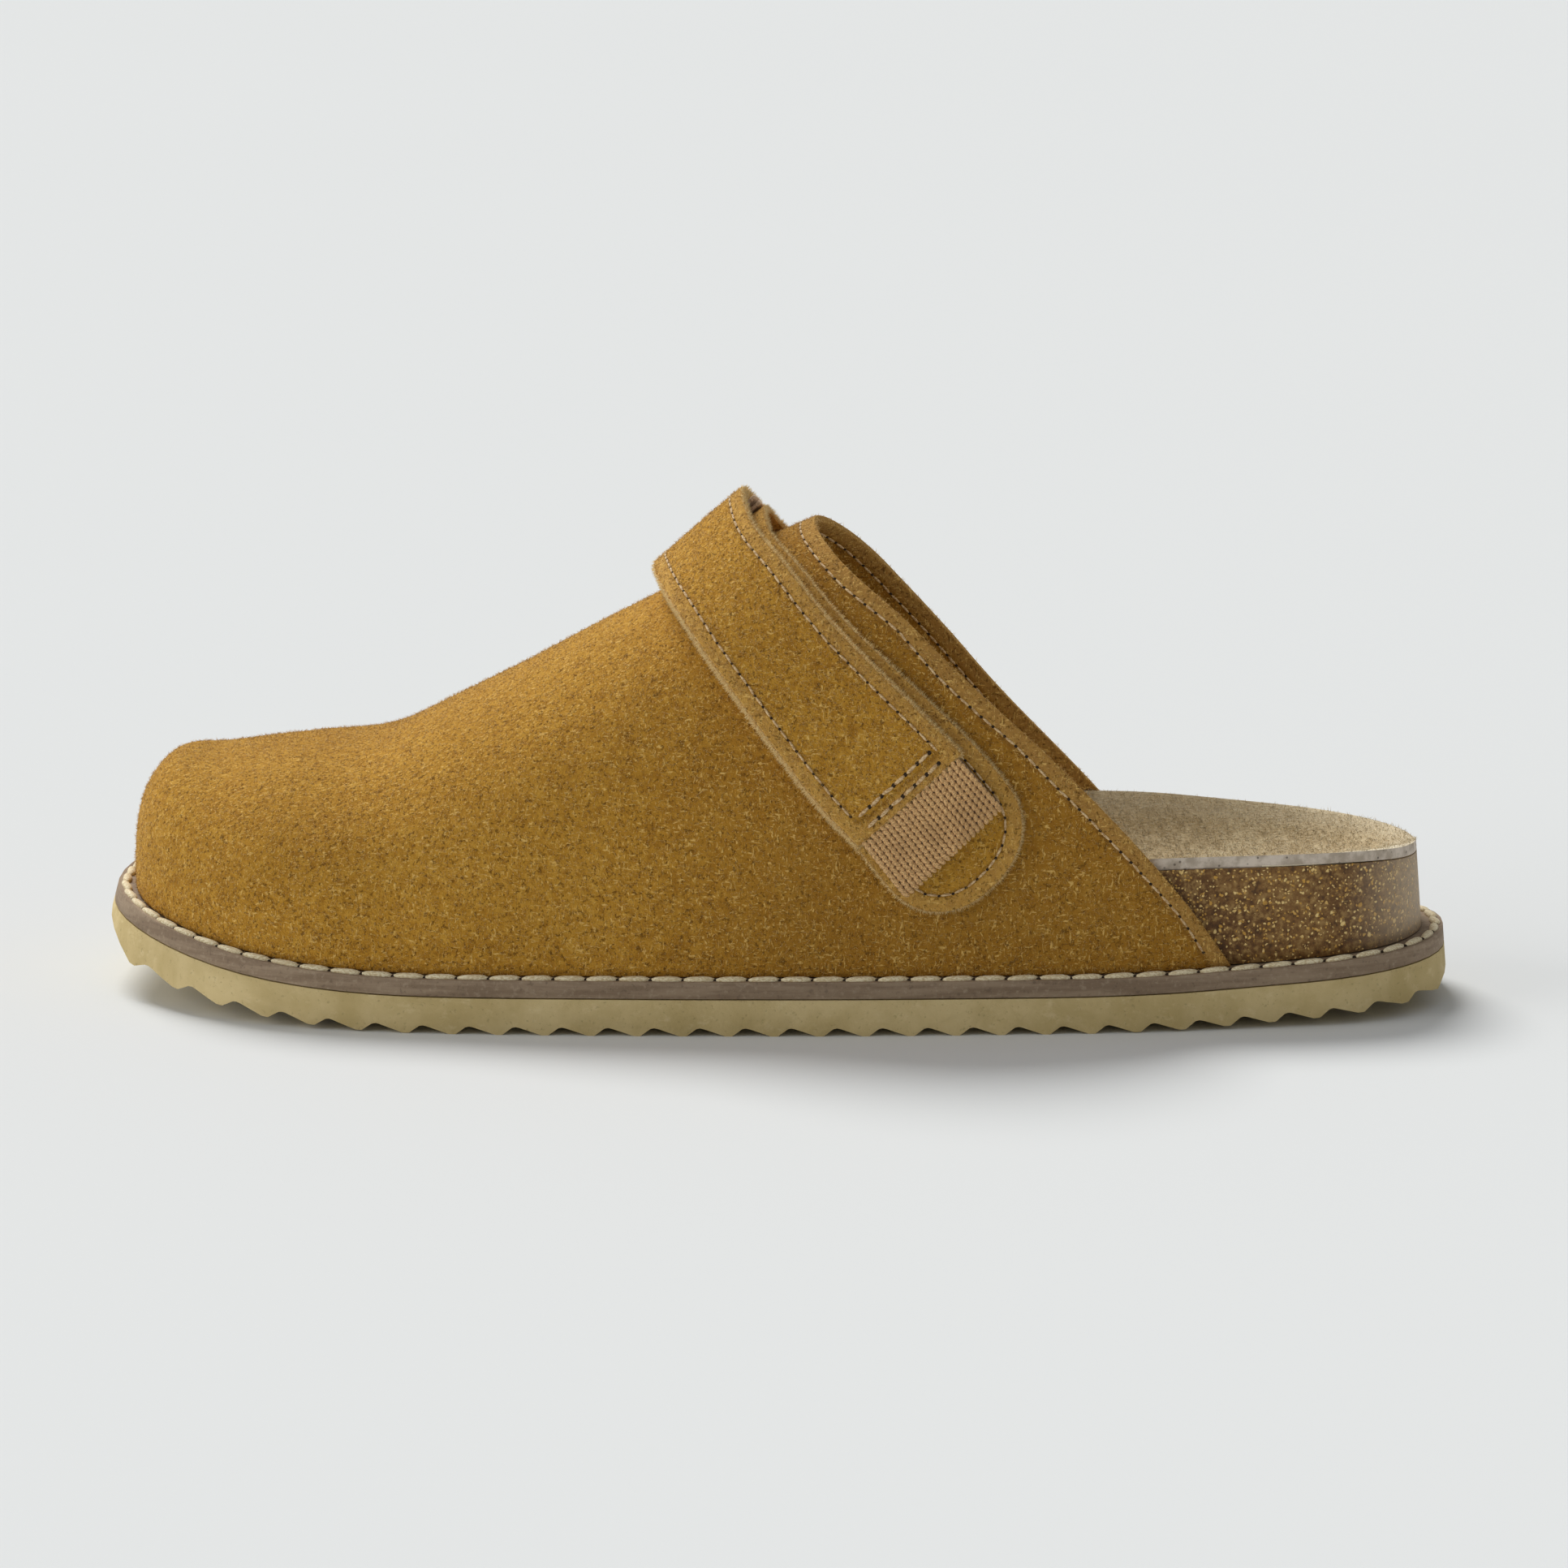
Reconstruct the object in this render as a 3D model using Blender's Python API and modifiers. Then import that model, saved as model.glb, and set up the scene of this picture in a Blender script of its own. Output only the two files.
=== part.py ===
# Clog slipper, left shoe: layered sole, cork footbed and a closed-toe suede upper
# with a strap over the instep. Metres, +Z up. The toe points to -X, the outer
# side of the foot to -Y, and the tread stands on z = 0. Places along the shoe are
# given as "behind": the distance behind the toe tip of the uncurled sole.

import math
from collections import namedtuple

import bpy
from mathutils import Vector

MM = 0.001

# Overall sizes
LENGTH = 285 * MM
CLEARANCE = 0.3 * MM        # between curved pieces that lie on each other

# Toe and heel rounding of the plan outline
TOE_CAP = 66 * MM
TOE_POWER = 2.5
TOE_SWING = 6 * MM          # the toe's tip lies this far towards the big toe
TOE_SWING_END = 100 * MM
HEEL_CAP = 42 * MM
HEEL_POWER = 2.25

# How far the sole lifts off the floor at its ends
TOE_SPRING = 9.6 * MM
TOE_SPRING_END = 80 * MM
TOE_SPRING_POWER = 2.25
HEEL_LIFT = 3.8 * MM
HEEL_LIFT_END = 78 * MM
HEEL_LIFT_POWER = 1.7

# Layers of the sole, measured up from its underside
OUTSOLE_TOP = 7.6 * MM
WELT_BOTTOM = OUTSOLE_TOP + CLEARANCE
WELT_TOP = 11.4 * MM
UPPER_FOOT = WELT_TOP + CLEARANCE
BEND_HEIGHT = 5.6 * MM      # layer that keeps its length where the sole curls up

# Tread ribs, straight across the sole
RIB_COUNT = 29
RIB_FIRST = 9.8 * MM        # first rib behind the toe tip
RIB_LAST = 8.9 * MM         # last rib ahead of the heel's end
RIB_SPREAD = 0.96           # below 1 the ribs lie a little wider apart at the toe
RIB_DEPTH = 1.7 * MM
RIB_LAND = 1.3 * MM         # flat that touches the floor
RIB_STEEP = 0.22            # share of the pitch taken by the short slope
RIB_VALLEY = 0.16           # share taken by the rounded bottom of the groove
RIB_SHOULDER = 0.91         # share of the depth where that rounding starts and ends
TOE_CORNER = 5.6 * MM       # cut under the toe tip
HEEL_CORNER = 2.4 * MM      # cut under the heel's end
HEEL_CORNER_RUN = 2.0 * MM
OUTLINE_POINTS = 88         # round the sole in plan
LAYER_PIECES = 36           # along each layer, so that it can curl
OVERCUT = 1 * MM            # a layer's side profile runs past the outline by this

# Upper
UPPER_INSET = 3.6 * MM      # from the sole's edge to the suede
UPPER_WALL = 1.7 * MM
SPINE_SHIFT = 4 * MM        # the ridge lies this far towards the big toe
TOE_WALL = 14 * MM          # length of the toe's rounding in side view
TOE_WALL_POWER = 2.6
UPPER_ROWS = 34
UPPER_SPANS = 28            # faces across one section
UPPER_CROWD = 1.7           # how strongly the rows crowd towards the toe

# Footbed and sock
SOCK_THICKNESS = 2.2 * MM
BED_CUP = 3.2               # how late the footbed turns up towards its rims
BED_HEEL_CUP = 38 * MM      # length of the turn-up at the heel's end
BED_TOE_CUP = 30 * MM
BED_ROWS = 30
BED_SPANS = 12
BED_GAP = 0.5 * MM          # between the footbed and the inside of the upper
BED_END = 0.15 * MM         # leaves a narrow flat at the toe and at the heel

# Straps over the instep
STRAP_THICKNESS = 2.6 * MM
FLAP_THICKNESS = 1.6 * MM
TAB_THICKNESS = 2.0 * MM
TAB_LENGTH = 13 * MM
TAB_WIDTH = 0.94            # of the strap's width
FLAP_REACH = 24.5 * MM        # how far the flap shows beyond the strap's end
FLAP_FRONT = -1.03          # edges of the flap, in half widths of the strap
FLAP_REAR = 1.2
FLAP_ROUND = 15 * MM
FLAP_ROUND_POWER = 2.2
STRAP_SEAM = 14 * MM        # inner end of the strap, short of its mirrored outer end
FLAP_SEAM = 4 * MM
INNER_FORWARD = 13 * MM     # the inner ends lie this far ahead of the outer ones
BAND_SPANS = 4
FLAP_ROWS = 40
STRAP_ROWS = 30
TAB_ROWS = 4
INNER_FORWARD_POWER = 1.6   # the shift grows towards the inner ends

# Plan outline: half widths on the outer and the inner side of the foot
Plan = namedtuple("Plan", "behind outer inner")
PLAN = (
    Plan(0 * MM, 47 * MM, 47 * MM),
    Plan(40 * MM, 53.5 * MM, 52 * MM),
    Plan(75 * MM, 54.4 * MM, 54.4 * MM),
    Plan(110 * MM, 53.3 * MM, 50 * MM),
    Plan(150 * MM, 50.8 * MM, 40 * MM),
    Plan(190 * MM, 46.5 * MM, 35 * MM),
    Plan(225 * MM, 41.3 * MM, 35 * MM),
    Plan(255 * MM, 35 * MM, 35.5 * MM),
    Plan(285 * MM, 34.5 * MM, 35 * MM),
)

# Ridge of the upper: height above the welt, and how square the section is
Ridge = namedtuple("Ridge", "behind height square")
RIDGE = (
    Ridge(0 * MM, 28.8 * MM, 3.0),
    Ridge(19 * MM, 30.9 * MM, 2.9),
    Ridge(34 * MM, 35 * MM, 2.7),
    Ridge(51 * MM, 38.4 * MM, 2.55),
    Ridge(60 * MM, 41.2 * MM, 2.45),
    Ridge(71 * MM, 46.7 * MM, 2.35),
    Ridge(85 * MM, 53.8 * MM, 2.3),
    Ridge(99 * MM, 61.6 * MM, 2.25),
    Ridge(118 * MM, 72 * MM, 2.2),
    Ridge(150 * MM, 88.6 * MM, 2.2),
    Ridge(185 * MM, 102 * MM, 2.3),
    Ridge(245 * MM, 118 * MM, 2.5),
)

# Edge of the collar in side view: height above the floor, and places along the shoe
# on the outer and the inner side of the foot
Collar = namedtuple("Collar", "height outer inner")
COLLAR = (
    Collar(12 * MM, 241 * MM, 229.5 * MM),
    Collar(27 * MM, 230.9 * MM, 219.5 * MM),
    Collar(45.5 * MM, 214.2 * MM, 202.3 * MM),
    Collar(57.5 * MM, 202.3 * MM, 190.5 * MM),
    Collar(75 * MM, 182.4 * MM, 175.8 * MM),
    Collar(85 * MM, 172 * MM, 167 * MM),
    Collar(93 * MM, 160.7 * MM, 160 * MM),
    Collar(98.5 * MM, 154 * MM, 154 * MM),
    Collar(101 * MM, 151 * MM, 151 * MM),
)

# Footbed: its inset from the sole's edge, and its heights above the welt at the
# middle and at the two rims
Bed = namedtuple("Bed", "behind inset seat outer_rim inner_rim")
BED = (
    Bed(0 * MM, 8.5 * MM, 5.0 * MM, 6.0 * MM, 6.0 * MM),
    Bed(60 * MM, 6.8 * MM, 5.0 * MM, 6.5 * MM, 6.5 * MM),
    Bed(110 * MM, 6.2 * MM, 6.5 * MM, 8.5 * MM, 10 * MM),
    Bed(150 * MM, 6.0 * MM, 9.5 * MM, 12 * MM, 18 * MM),
    Bed(185 * MM, 5.8 * MM, 10 * MM, 17 * MM, 22 * MM),
    Bed(215 * MM, 5.7 * MM, 8.5 * MM, 21 * MM, 22.7 * MM),
    Bed(250 * MM, 5 * MM, 7.5 * MM, 20 * MM, 18.8 * MM),
    Bed(270 * MM, 4.6 * MM, 8.5 * MM, 18.4 * MM, 16.2 * MM),
    Bed(285 * MM, 4.4 * MM, 10 * MM, 15 * MM, 14.2 * MM),
)

# Straps: where the front and rear edges run on the upper, from the outer end
# (reach 0) up to the ridge. A turn is the angle round the section, 0 at the outer
# welt and 90 at the ridge. The lifts are how far each band stands off the upper.
Band = namedtuple("Band", "reach front front_turn rear rear_turn strap_front strap_rear flap_front flap_rear")
BAND = (
    Band(-25 * MM, 179.5 * MM, 4.5, 200.8 * MM, 15, 0, 0, 0, 0),
    Band(-13 * MM, 172 * MM, 10, 193 * MM, 20, 0, 0, 0, 0),
    Band(0 * MM, 163.5 * MM, 16.8, 184.4 * MM, 26.2, 0, 0, 0, 0),
    Band(9.4 * MM, 156.9 * MM, 21.5, 177 * MM, 31.2, 0, 0, 0, 0),
    Band(22.8 * MM, 148.2 * MM, 29.6, 166.4 * MM, 39.4, 0, 0, 0, 0),
    Band(37.5 * MM, 139 * MM, 40.2, 157 * MM, 48.6, 0.1 * MM, 0.2 * MM, 0, 0),
    Band(54 * MM, 129.8 * MM, 54.6, 148.6 * MM, 61.2, 0.8 * MM, 1.2 * MM, 0.4 * MM, 0.6 * MM),
    Band(73.6 * MM, 122.4 * MM, 74, 142.2 * MM, 76, 1.3 * MM, 4.6 * MM, 0.5 * MM, 2.6 * MM),
    Band(91.5 * MM, 120 * MM, 90, 141 * MM, 90, 1.4 * MM, 7.4 * MM, 0.5 * MM, 4.2 * MM),
)


def clear_scene():
    for item in list(bpy.data.objects):
        bpy.data.objects.remove(item, do_unlink=True)


def new_collection(name):
    collection = bpy.data.collections.new(name)
    bpy.context.scene.collection.children.link(collection)
    return collection


def plain_material(name, color, roughness):
    material = bpy.data.materials.new(name)
    material.use_nodes = True
    shader = material.node_tree.nodes["Principled BSDF"]
    shader.inputs["Base Color"].default_value = (*color, 1.0)
    shader.inputs["Roughness"].default_value = roughness
    shader.inputs["Metallic"].default_value = 0.0
    material.diffuse_color = (*color, 1.0)
    return material


def along(rows, place, column):
    """Value of a table's column at a place between its rows, without overshoot."""
    keys = [row[0] for row in rows]
    values = [getattr(row, column) for row in rows]
    if place <= keys[0]:
        return values[0]
    if place >= keys[-1]:
        return values[-1]
    steps = [(b - a) / (q - p) for a, b, p, q in zip(values, values[1:], keys, keys[1:])]
    here = max(i for i, key in enumerate(keys) if key <= place)
    slopes = []
    for i in (here, here + 1):
        if i == 0 or i == len(keys) - 1:
            slopes.append(steps[min(i, len(steps) - 1)])
        elif steps[i - 1] * steps[i] <= 0:
            slopes.append(0.0)
        else:
            slopes.append(2 * steps[i - 1] * steps[i] / (steps[i - 1] + steps[i]))
    span = keys[here + 1] - keys[here]
    t = (place - keys[here]) / span
    value = values[here] * (2 * t ** 3 - 3 * t ** 2 + 1)
    value += values[here + 1] * (3 * t ** 2 - 2 * t ** 3)
    value += slopes[0] * span * (t ** 3 - 2 * t ** 2 + t)
    value += slopes[1] * span * (t ** 3 - t ** 2)
    return value


def rounding(distance, length, power):
    """Share of the full size at a distance from a rounded end."""
    if distance >= length:
        return 1.0
    left = 1 - max(distance, 0.0) / length
    return max(0.0, 1 - left ** power) ** (1 / power)


def sole_edge(behind, side, inset=0.0):
    """Y of the sole's outline, or of one set in from it; side -1 outer, +1 inner."""
    width = along(PLAN, behind, "outer" if side < 0 else "inner") - inset
    width *= rounding(behind - inset, TOE_CAP - inset, TOE_POWER)
    width *= rounding(LENGTH - inset - behind, HEEL_CAP - inset, HEEL_POWER)
    swing = TOE_SWING * max(0.0, 1 - behind / TOE_SWING_END) ** 2
    return swing + side * width


def curl(behind):
    """Lift of the sole's underside off the floor, and the angle it leans at."""
    toe = max(0.0, 1 - behind / TOE_SPRING_END)
    heel = max(0.0, 1 - (LENGTH - behind) / HEEL_LIFT_END)
    lift = TOE_SPRING * toe ** TOE_SPRING_POWER + HEEL_LIFT * heel ** HEEL_LIFT_POWER
    slope = HEEL_LIFT * HEEL_LIFT_POWER / HEEL_LIFT_END * heel ** (HEEL_LIFT_POWER - 1)
    slope -= TOE_SPRING * TOE_SPRING_POWER / TOE_SPRING_END * toe ** (TOE_SPRING_POWER - 1)
    return lift, math.atan(slope)


def curled(behind, y, height):
    """World place of a point of the uncurled sole."""
    lift, lean = curl(min(max(behind, 0.0), LENGTH))
    x = behind - LENGTH / 2 - (height - BEND_HEIGHT) * math.sin(lean)
    z = lift + BEND_HEIGHT + (height - BEND_HEIGHT) * math.cos(lean)
    return Vector((x, y, z))


def upper_section(behind):
    """Ridge height over the upper's foot, ridge place and half widths of a section."""
    height = along(RIDGE, behind, "height")
    height *= rounding(behind - UPPER_INSET, TOE_WALL, TOE_WALL_POWER)
    outer = sole_edge(behind, -1, UPPER_INSET)
    inner = sole_edge(behind, 1, UPPER_INSET)
    ridge = (outer + inner) / 2
    ridge += SPINE_SHIFT * rounding(behind - UPPER_INSET, TOE_CAP, 2.0)
    ridge = min(max(ridge, outer), inner)
    return height, ridge, ridge - outer, inner - ridge


def upper_point(behind, turn):
    """Point of the upper's outside; turn runs over the ridge, 0 to 180 degrees."""
    height, ridge, outer, inner = upper_section(behind)
    square = along(RIDGE, behind, "square")
    across = math.cos(math.radians(turn))
    up = max(0.0, math.sin(math.radians(turn)))
    size = (abs(across) ** square + up ** square) ** (1 / square)
    width = outer if across > 0 else inner
    foot = curled(behind, 0.0, UPPER_FOOT)
    return Vector((foot.x, ridge - width * across / size, foot.z + height * up / size))


def upper_normal(behind, turn):
    """Direction that points straight out of the upper."""
    step, swing = 0.5 * MM, 1.0
    along_shoe = upper_point(behind + step, turn) - upper_point(behind - step, turn)
    around = upper_point(behind, turn + swing) - upper_point(behind, max(turn - swing, 0.0))
    return along_shoe.cross(around).normalized()


def collar_place(turn):
    """Place along the shoe where the collar's edge crosses this turn."""
    side = "outer" if turn <= 90 else "inner"
    low, high = COLLAR[-1].outer, COLLAR[0].outer
    for _ in range(40):
        middle = (low + high) / 2
        if along(COLLAR, upper_point(middle, turn).z, side) > middle:
            low = middle
        else:
            high = middle
    return (low + high) / 2


def inside_half_width(behind, side, height):
    """Y of the upper's inner face at a height over its foot."""
    ridge_height, ridge, outer, inner = upper_section(behind)
    square = along(RIDGE, behind, "square")
    share = min(height / max(ridge_height, MM), 1.0)
    width = (outer if side < 0 else inner) * (1 - share ** square) ** (1 / square)
    return ridge + side * (width - UPPER_WALL - BED_GAP)


def mesh_object(name, points, faces, collection, material):
    mesh = bpy.data.meshes.new(name)
    mesh.from_pydata([tuple(point) for point in points], [], faces)
    mesh.validate()
    item = bpy.data.objects.new(name, mesh)
    collection.objects.link(item)
    mesh.materials.append(material)
    return item


def make_active(item):
    bpy.ops.object.select_all(action="DESELECT")
    item.select_set(True)
    bpy.context.view_layer.objects.active = item


def finish(item, smooth):
    """Weld the seams, turn the faces outwards and set the shading."""
    make_active(item)
    bpy.ops.object.mode_set(mode="EDIT")
    bpy.ops.mesh.select_all(action="SELECT")
    bpy.ops.mesh.remove_doubles(threshold=0.00002)
    bpy.ops.mesh.normals_make_consistent(inside=False)
    bpy.ops.object.mode_set(mode="OBJECT")
    if smooth:
        bpy.ops.object.shade_smooth_by_angle(angle=math.radians(40))


def prism(name, outline, half_height, collection, material):
    """Flat outline as a filled curve, extruded both ways from its plane."""
    curve = bpy.data.curves.new(name, "CURVE")
    curve.dimensions = "2D"
    curve.fill_mode = "BOTH"
    curve.extrude = half_height
    spline = curve.splines.new("POLY")
    spline.points.add(len(outline) - 1)
    for point, (x, y) in zip(spline.points, outline):
        point.co = (x, y, 0.0, 1.0)
    spline.use_cyclic_u = True
    curve.materials.append(material)
    item = bpy.data.objects.new(name, curve)
    collection.objects.link(item)
    make_active(item)
    bpy.ops.object.convert(target="MESH")
    return bpy.context.view_layer.objects.active


def sole_outline():
    """Closed plan outline, with its points crowded where it rounds."""
    points = []
    for i in range(OUTLINE_POINTS):
        angle = 2 * math.pi * i / OUTLINE_POINTS
        behind = LENGTH * (1 - math.cos(angle)) / 2
        side = -1 if angle <= math.pi else 1
        points.append((behind, sole_edge(behind, side)))
    return points


def tread_profile():
    """Underside of the outsole from toe to heel: ribs with rounded grooves between."""
    span = LENGTH - RIB_FIRST - RIB_LAST
    tips = [RIB_FIRST + span * (i / (RIB_COUNT - 1)) ** RIB_SPREAD for i in range(RIB_COUNT)]
    tips.append(LENGTH - HEEL_CORNER_RUN)
    points = [(-OVERCUT, TOE_CORNER), (0.0, TOE_CORNER)]
    for tip, following in zip(tips, tips[1:]):
        points.append((tip - RIB_LAND / 2, 0.0))
        points.append((tip + RIB_LAND / 2, 0.0))
        reach = following - tip
        crest = tip + RIB_LAND / 2 + RIB_STEEP * reach
        points.append((crest, RIB_DEPTH * RIB_SHOULDER))
        points.append((crest + RIB_VALLEY * reach / 2, RIB_DEPTH))
        points.append((crest + RIB_VALLEY * reach, RIB_DEPTH * RIB_SHOULDER))
    points.append((LENGTH - HEEL_CORNER_RUN, 0.0))
    points.append((LENGTH, HEEL_CORNER))
    points.append((LENGTH + OVERCUT, HEEL_CORNER))
    return points


def sheet_profile(bottom, top):
    """Side profile of one layer: its underside's points and an evenly cut top."""
    start, end = bottom[0][0], bottom[-1][0]
    upper = [(start + (end - start) * i / LAYER_PIECES, top) for i in range(LAYER_PIECES, -1, -1)]
    return bottom + upper


def sole_layer(name, profile, collection, cutters, material):
    """Plan outline cut by a side profile, then curled up at toe and heel."""
    body = prism(name, sole_outline(), WELT_TOP + OVERCUT, collection, material)
    cutter = prism(name + "_profile", profile, LENGTH / 3, cutters, material)
    cutter.rotation_euler = (math.radians(90), 0, 0)
    cutter.display_type = "WIRE"
    cutter.hide_render = True
    cut = body.modifiers.new("side profile", "BOOLEAN")
    cut.operation = "INTERSECT"
    cut.solver = "EXACT"
    cut.object = cutter
    make_active(body)
    bpy.ops.object.modifier_apply(modifier=cut.name)
    for vertex in body.data.vertices:
        vertex.co = curled(vertex.co.x, vertex.co.y, vertex.co.z)
    finish(body, False)
    return body


def build_outsole(collection, cutters):
    material = plain_material("outsole", (0.47, 0.40, 0.27), 0.8)
    profile = sheet_profile(tread_profile(), OUTSOLE_TOP)
    return sole_layer("outsole", profile, collection, cutters, material)


def build_welt(collection, cutters):
    material = plain_material("welt", (0.25, 0.20, 0.17), 0.7)
    piece = (LENGTH + 2 * OVERCUT) / LAYER_PIECES
    bottom = [(piece * i - OVERCUT, WELT_BOTTOM) for i in range(LAYER_PIECES + 1)]
    profile = sheet_profile(bottom, WELT_TOP)
    return sole_layer("welt", profile, collection, cutters, material)


def bed_edge(behind, side, height):
    """Y of the footbed's side, kept inside the sole and inside the upper."""
    edge = sole_edge(behind, side, along(BED, behind, "inset"))
    if behind < COLLAR[0].outer:
        wall = inside_half_width(behind, side, height)
        edge = max(edge, wall) if side < 0 else min(edge, wall)
    return edge


def bed_height(behind, across):
    """Height of the cork above the welt; across runs from -1 outer to 1 inner."""
    seat = along(BED, behind, "seat")
    rim = along(BED, behind, "outer_rim" if across < 0 else "inner_rim")
    start, end = bed_ends()
    toe = 1 - (behind - start) / BED_TOE_CUP
    heel = 1 - (end - behind) / BED_HEEL_CUP
    closeness = max(toe, heel, 0.0)
    out = min((abs(across) ** BED_CUP + closeness ** BED_CUP) ** (1 / BED_CUP), 1.0)
    return seat + (rim - seat) * out ** BED_CUP


def bed_ends():
    """Where the footbed starts behind the toe tip and where it ends at the heel."""
    start = along(BED, 0.0, "inset") + BED_END
    end = LENGTH - along(BED, LENGTH, "inset") - BED_END
    return start, end


def bed_stations():
    start, end = bed_ends()
    crowd = [(1 - math.cos(math.pi * i / BED_ROWS)) / 2 for i in range(BED_ROWS + 1)]
    return [start + (end - start) * share for share in crowd]


def bed_layer(behind, lift, bottom):
    """One row across the footbed at a lift above the cork, or along its underside."""
    rim_top = max(bed_height(behind, -1), bed_height(behind, 1)) + SOCK_THICKNESS
    row = []
    for i in range(BED_SPANS + 1):
        across = -math.cos(math.pi * i / BED_SPANS)
        outer = bed_edge(behind, -1, rim_top)
        inner = bed_edge(behind, 1, rim_top)
        y = (outer + inner) / 2 + (inner - outer) / 2 * across
        height = UPPER_FOOT if bottom else UPPER_FOOT + bed_height(behind, across) + lift
        row.append(curled(behind, y, height))
    return row


def closed_sheet(name, top_rows, bottom_rows, collection, material):
    """Closed body between two grids of the same size, whose end rows may be points."""
    rows = len(top_rows)
    columns = len(top_rows[0])
    points = [point for row in top_rows for point in row]
    points += [point for row in bottom_rows for point in row]
    base = rows * columns

    def at(layer, i, j):
        return layer * base + i * columns + j

    faces = []
    for i in range(rows - 1):
        for j in range(columns - 1):
            faces.append((at(0, i, j), at(0, i, j + 1), at(0, i + 1, j + 1), at(0, i + 1, j)))
            faces.append((at(1, i, j), at(1, i + 1, j), at(1, i + 1, j + 1), at(1, i, j + 1)))
        for j in (0, columns - 1):
            faces.append((at(0, i, j), at(0, i + 1, j), at(1, i + 1, j), at(1, i, j)))
    for j in range(columns - 1):
        for i in (0, rows - 1):
            faces.append((at(0, i, j), at(0, i, j + 1), at(1, i, j + 1), at(1, i, j)))
    item = mesh_object(name, points, faces, collection, material)
    finish(item, True)
    return item


def build_footbed(collection):
    material = plain_material("cork", (0.17, 0.10, 0.05), 0.85)
    stations = bed_stations()
    top = [bed_layer(behind, 0.0, False) for behind in stations]
    bottom = [bed_layer(behind, 0.0, True) for behind in stations]
    return closed_sheet("footbed", top, bottom, collection, material)


def build_sock(collection):
    material = plain_material("sock_suede", (0.52, 0.41, 0.26), 0.9)
    stations = bed_stations()
    top = [bed_layer(behind, CLEARANCE + SOCK_THICKNESS, False) for behind in stations]
    bottom = [bed_layer(behind, CLEARANCE, False) for behind in stations]
    return closed_sheet("insole", top, bottom, collection, material)


def build_upper(collection):
    """Open shell from the toe's pole back to the slanted collar, then thickened."""
    material = plain_material("suede", (0.40, 0.22, 0.06), 0.95)
    turns = [180 * j / UPPER_SPANS for j in range(UPPER_SPANS + 1)]
    ends = [collar_place(turn) for turn in turns]
    points = [upper_point(UPPER_INSET, 0.0)]
    for i in range(1, UPPER_ROWS + 1):
        share = (i / UPPER_ROWS) ** UPPER_CROWD
        for turn, end in zip(turns, ends):
            points.append(upper_point(UPPER_INSET + (end - UPPER_INSET) * share, turn))
    columns = UPPER_SPANS + 1
    faces = [(0, 1 + j, 2 + j) for j in range(UPPER_SPANS)]
    for i in range(UPPER_ROWS - 1):
        first = 1 + i * columns
        for j in range(UPPER_SPANS):
            here = first + j
            faces.append((here, here + columns, here + columns + 1, here + 1))
    item = mesh_object("upper", points, faces, collection, material)
    finish(item, True)
    wall = item.modifiers.new("wall", "SOLIDIFY")
    wall.thickness = UPPER_WALL
    wall.offset = -1.0
    wall.use_even_offset = True
    make_active(item)
    bpy.ops.object.modifier_apply(modifier=wall.name)
    finish(item, True)
    return item


def mirrored_band():
    """Band rows from the outer end over the ridge and down the inner side."""
    ridge = BAND[-1].reach
    far = []
    for row in reversed(BAND[:-1]):
        forward = INNER_FORWARD * ((ridge - row.reach) / ridge) ** INNER_FORWARD_POWER
        turned = row._replace(
            reach=2 * ridge - row.reach,
            front=row.front - forward,
            rear=row.rear - forward,
            front_turn=180 - row.front_turn,
            rear_turn=180 - row.rear_turn,
        )
        far.append(turned)
    return BAND + tuple(far)


def band_point(rows, reach, across, lifts, stand_off):
    """Point over the upper; across runs from -1 at the front edge to 1 at the rear."""
    share = (across + 1) / 2
    front, rear = along(rows, reach, "front"), along(rows, reach, "rear")
    front_turn, rear_turn = along(rows, reach, "front_turn"), along(rows, reach, "rear_turn")
    behind = front + (rear - front) * share
    turn = front_turn + (rear_turn - front_turn) * share
    low, high = along(rows, reach, lifts + "_front"), along(rows, reach, lifts + "_rear")
    rise = stand_off + low + (high - low) * share
    return upper_point(behind, turn) + upper_normal(behind, turn) * rise


def band(name, span, edges, lifts, stand_off, thickness, round_end, steps, collection, material):
    """Strip of suede or webbing that follows the upper from one reach to another."""
    rows = mirrored_band()
    start, end = span
    top_rows, bottom_rows = [], []
    for i in range(steps + 1):
        crowd = 1 - math.cos(math.pi / 2 * i / steps) if round_end else i / steps
        reach = start + (end - start) * crowd
        narrow = rounding(reach - start, round_end, FLAP_ROUND_POWER) if round_end else 1.0
        middle, half = (edges[0] + edges[1]) / 2, (edges[1] - edges[0]) / 2
        half *= narrow
        acrosses = [middle + half * (2 * j / BAND_SPANS - 1) for j in range(BAND_SPANS + 1)]
        top = [band_point(rows, reach, value, lifts, stand_off + thickness) for value in acrosses]
        low = [band_point(rows, reach, value, lifts, stand_off) for value in acrosses]
        top_rows.append(top)
        bottom_rows.append(low)
    return closed_sheet(name, top_rows, bottom_rows, collection, material)


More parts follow.
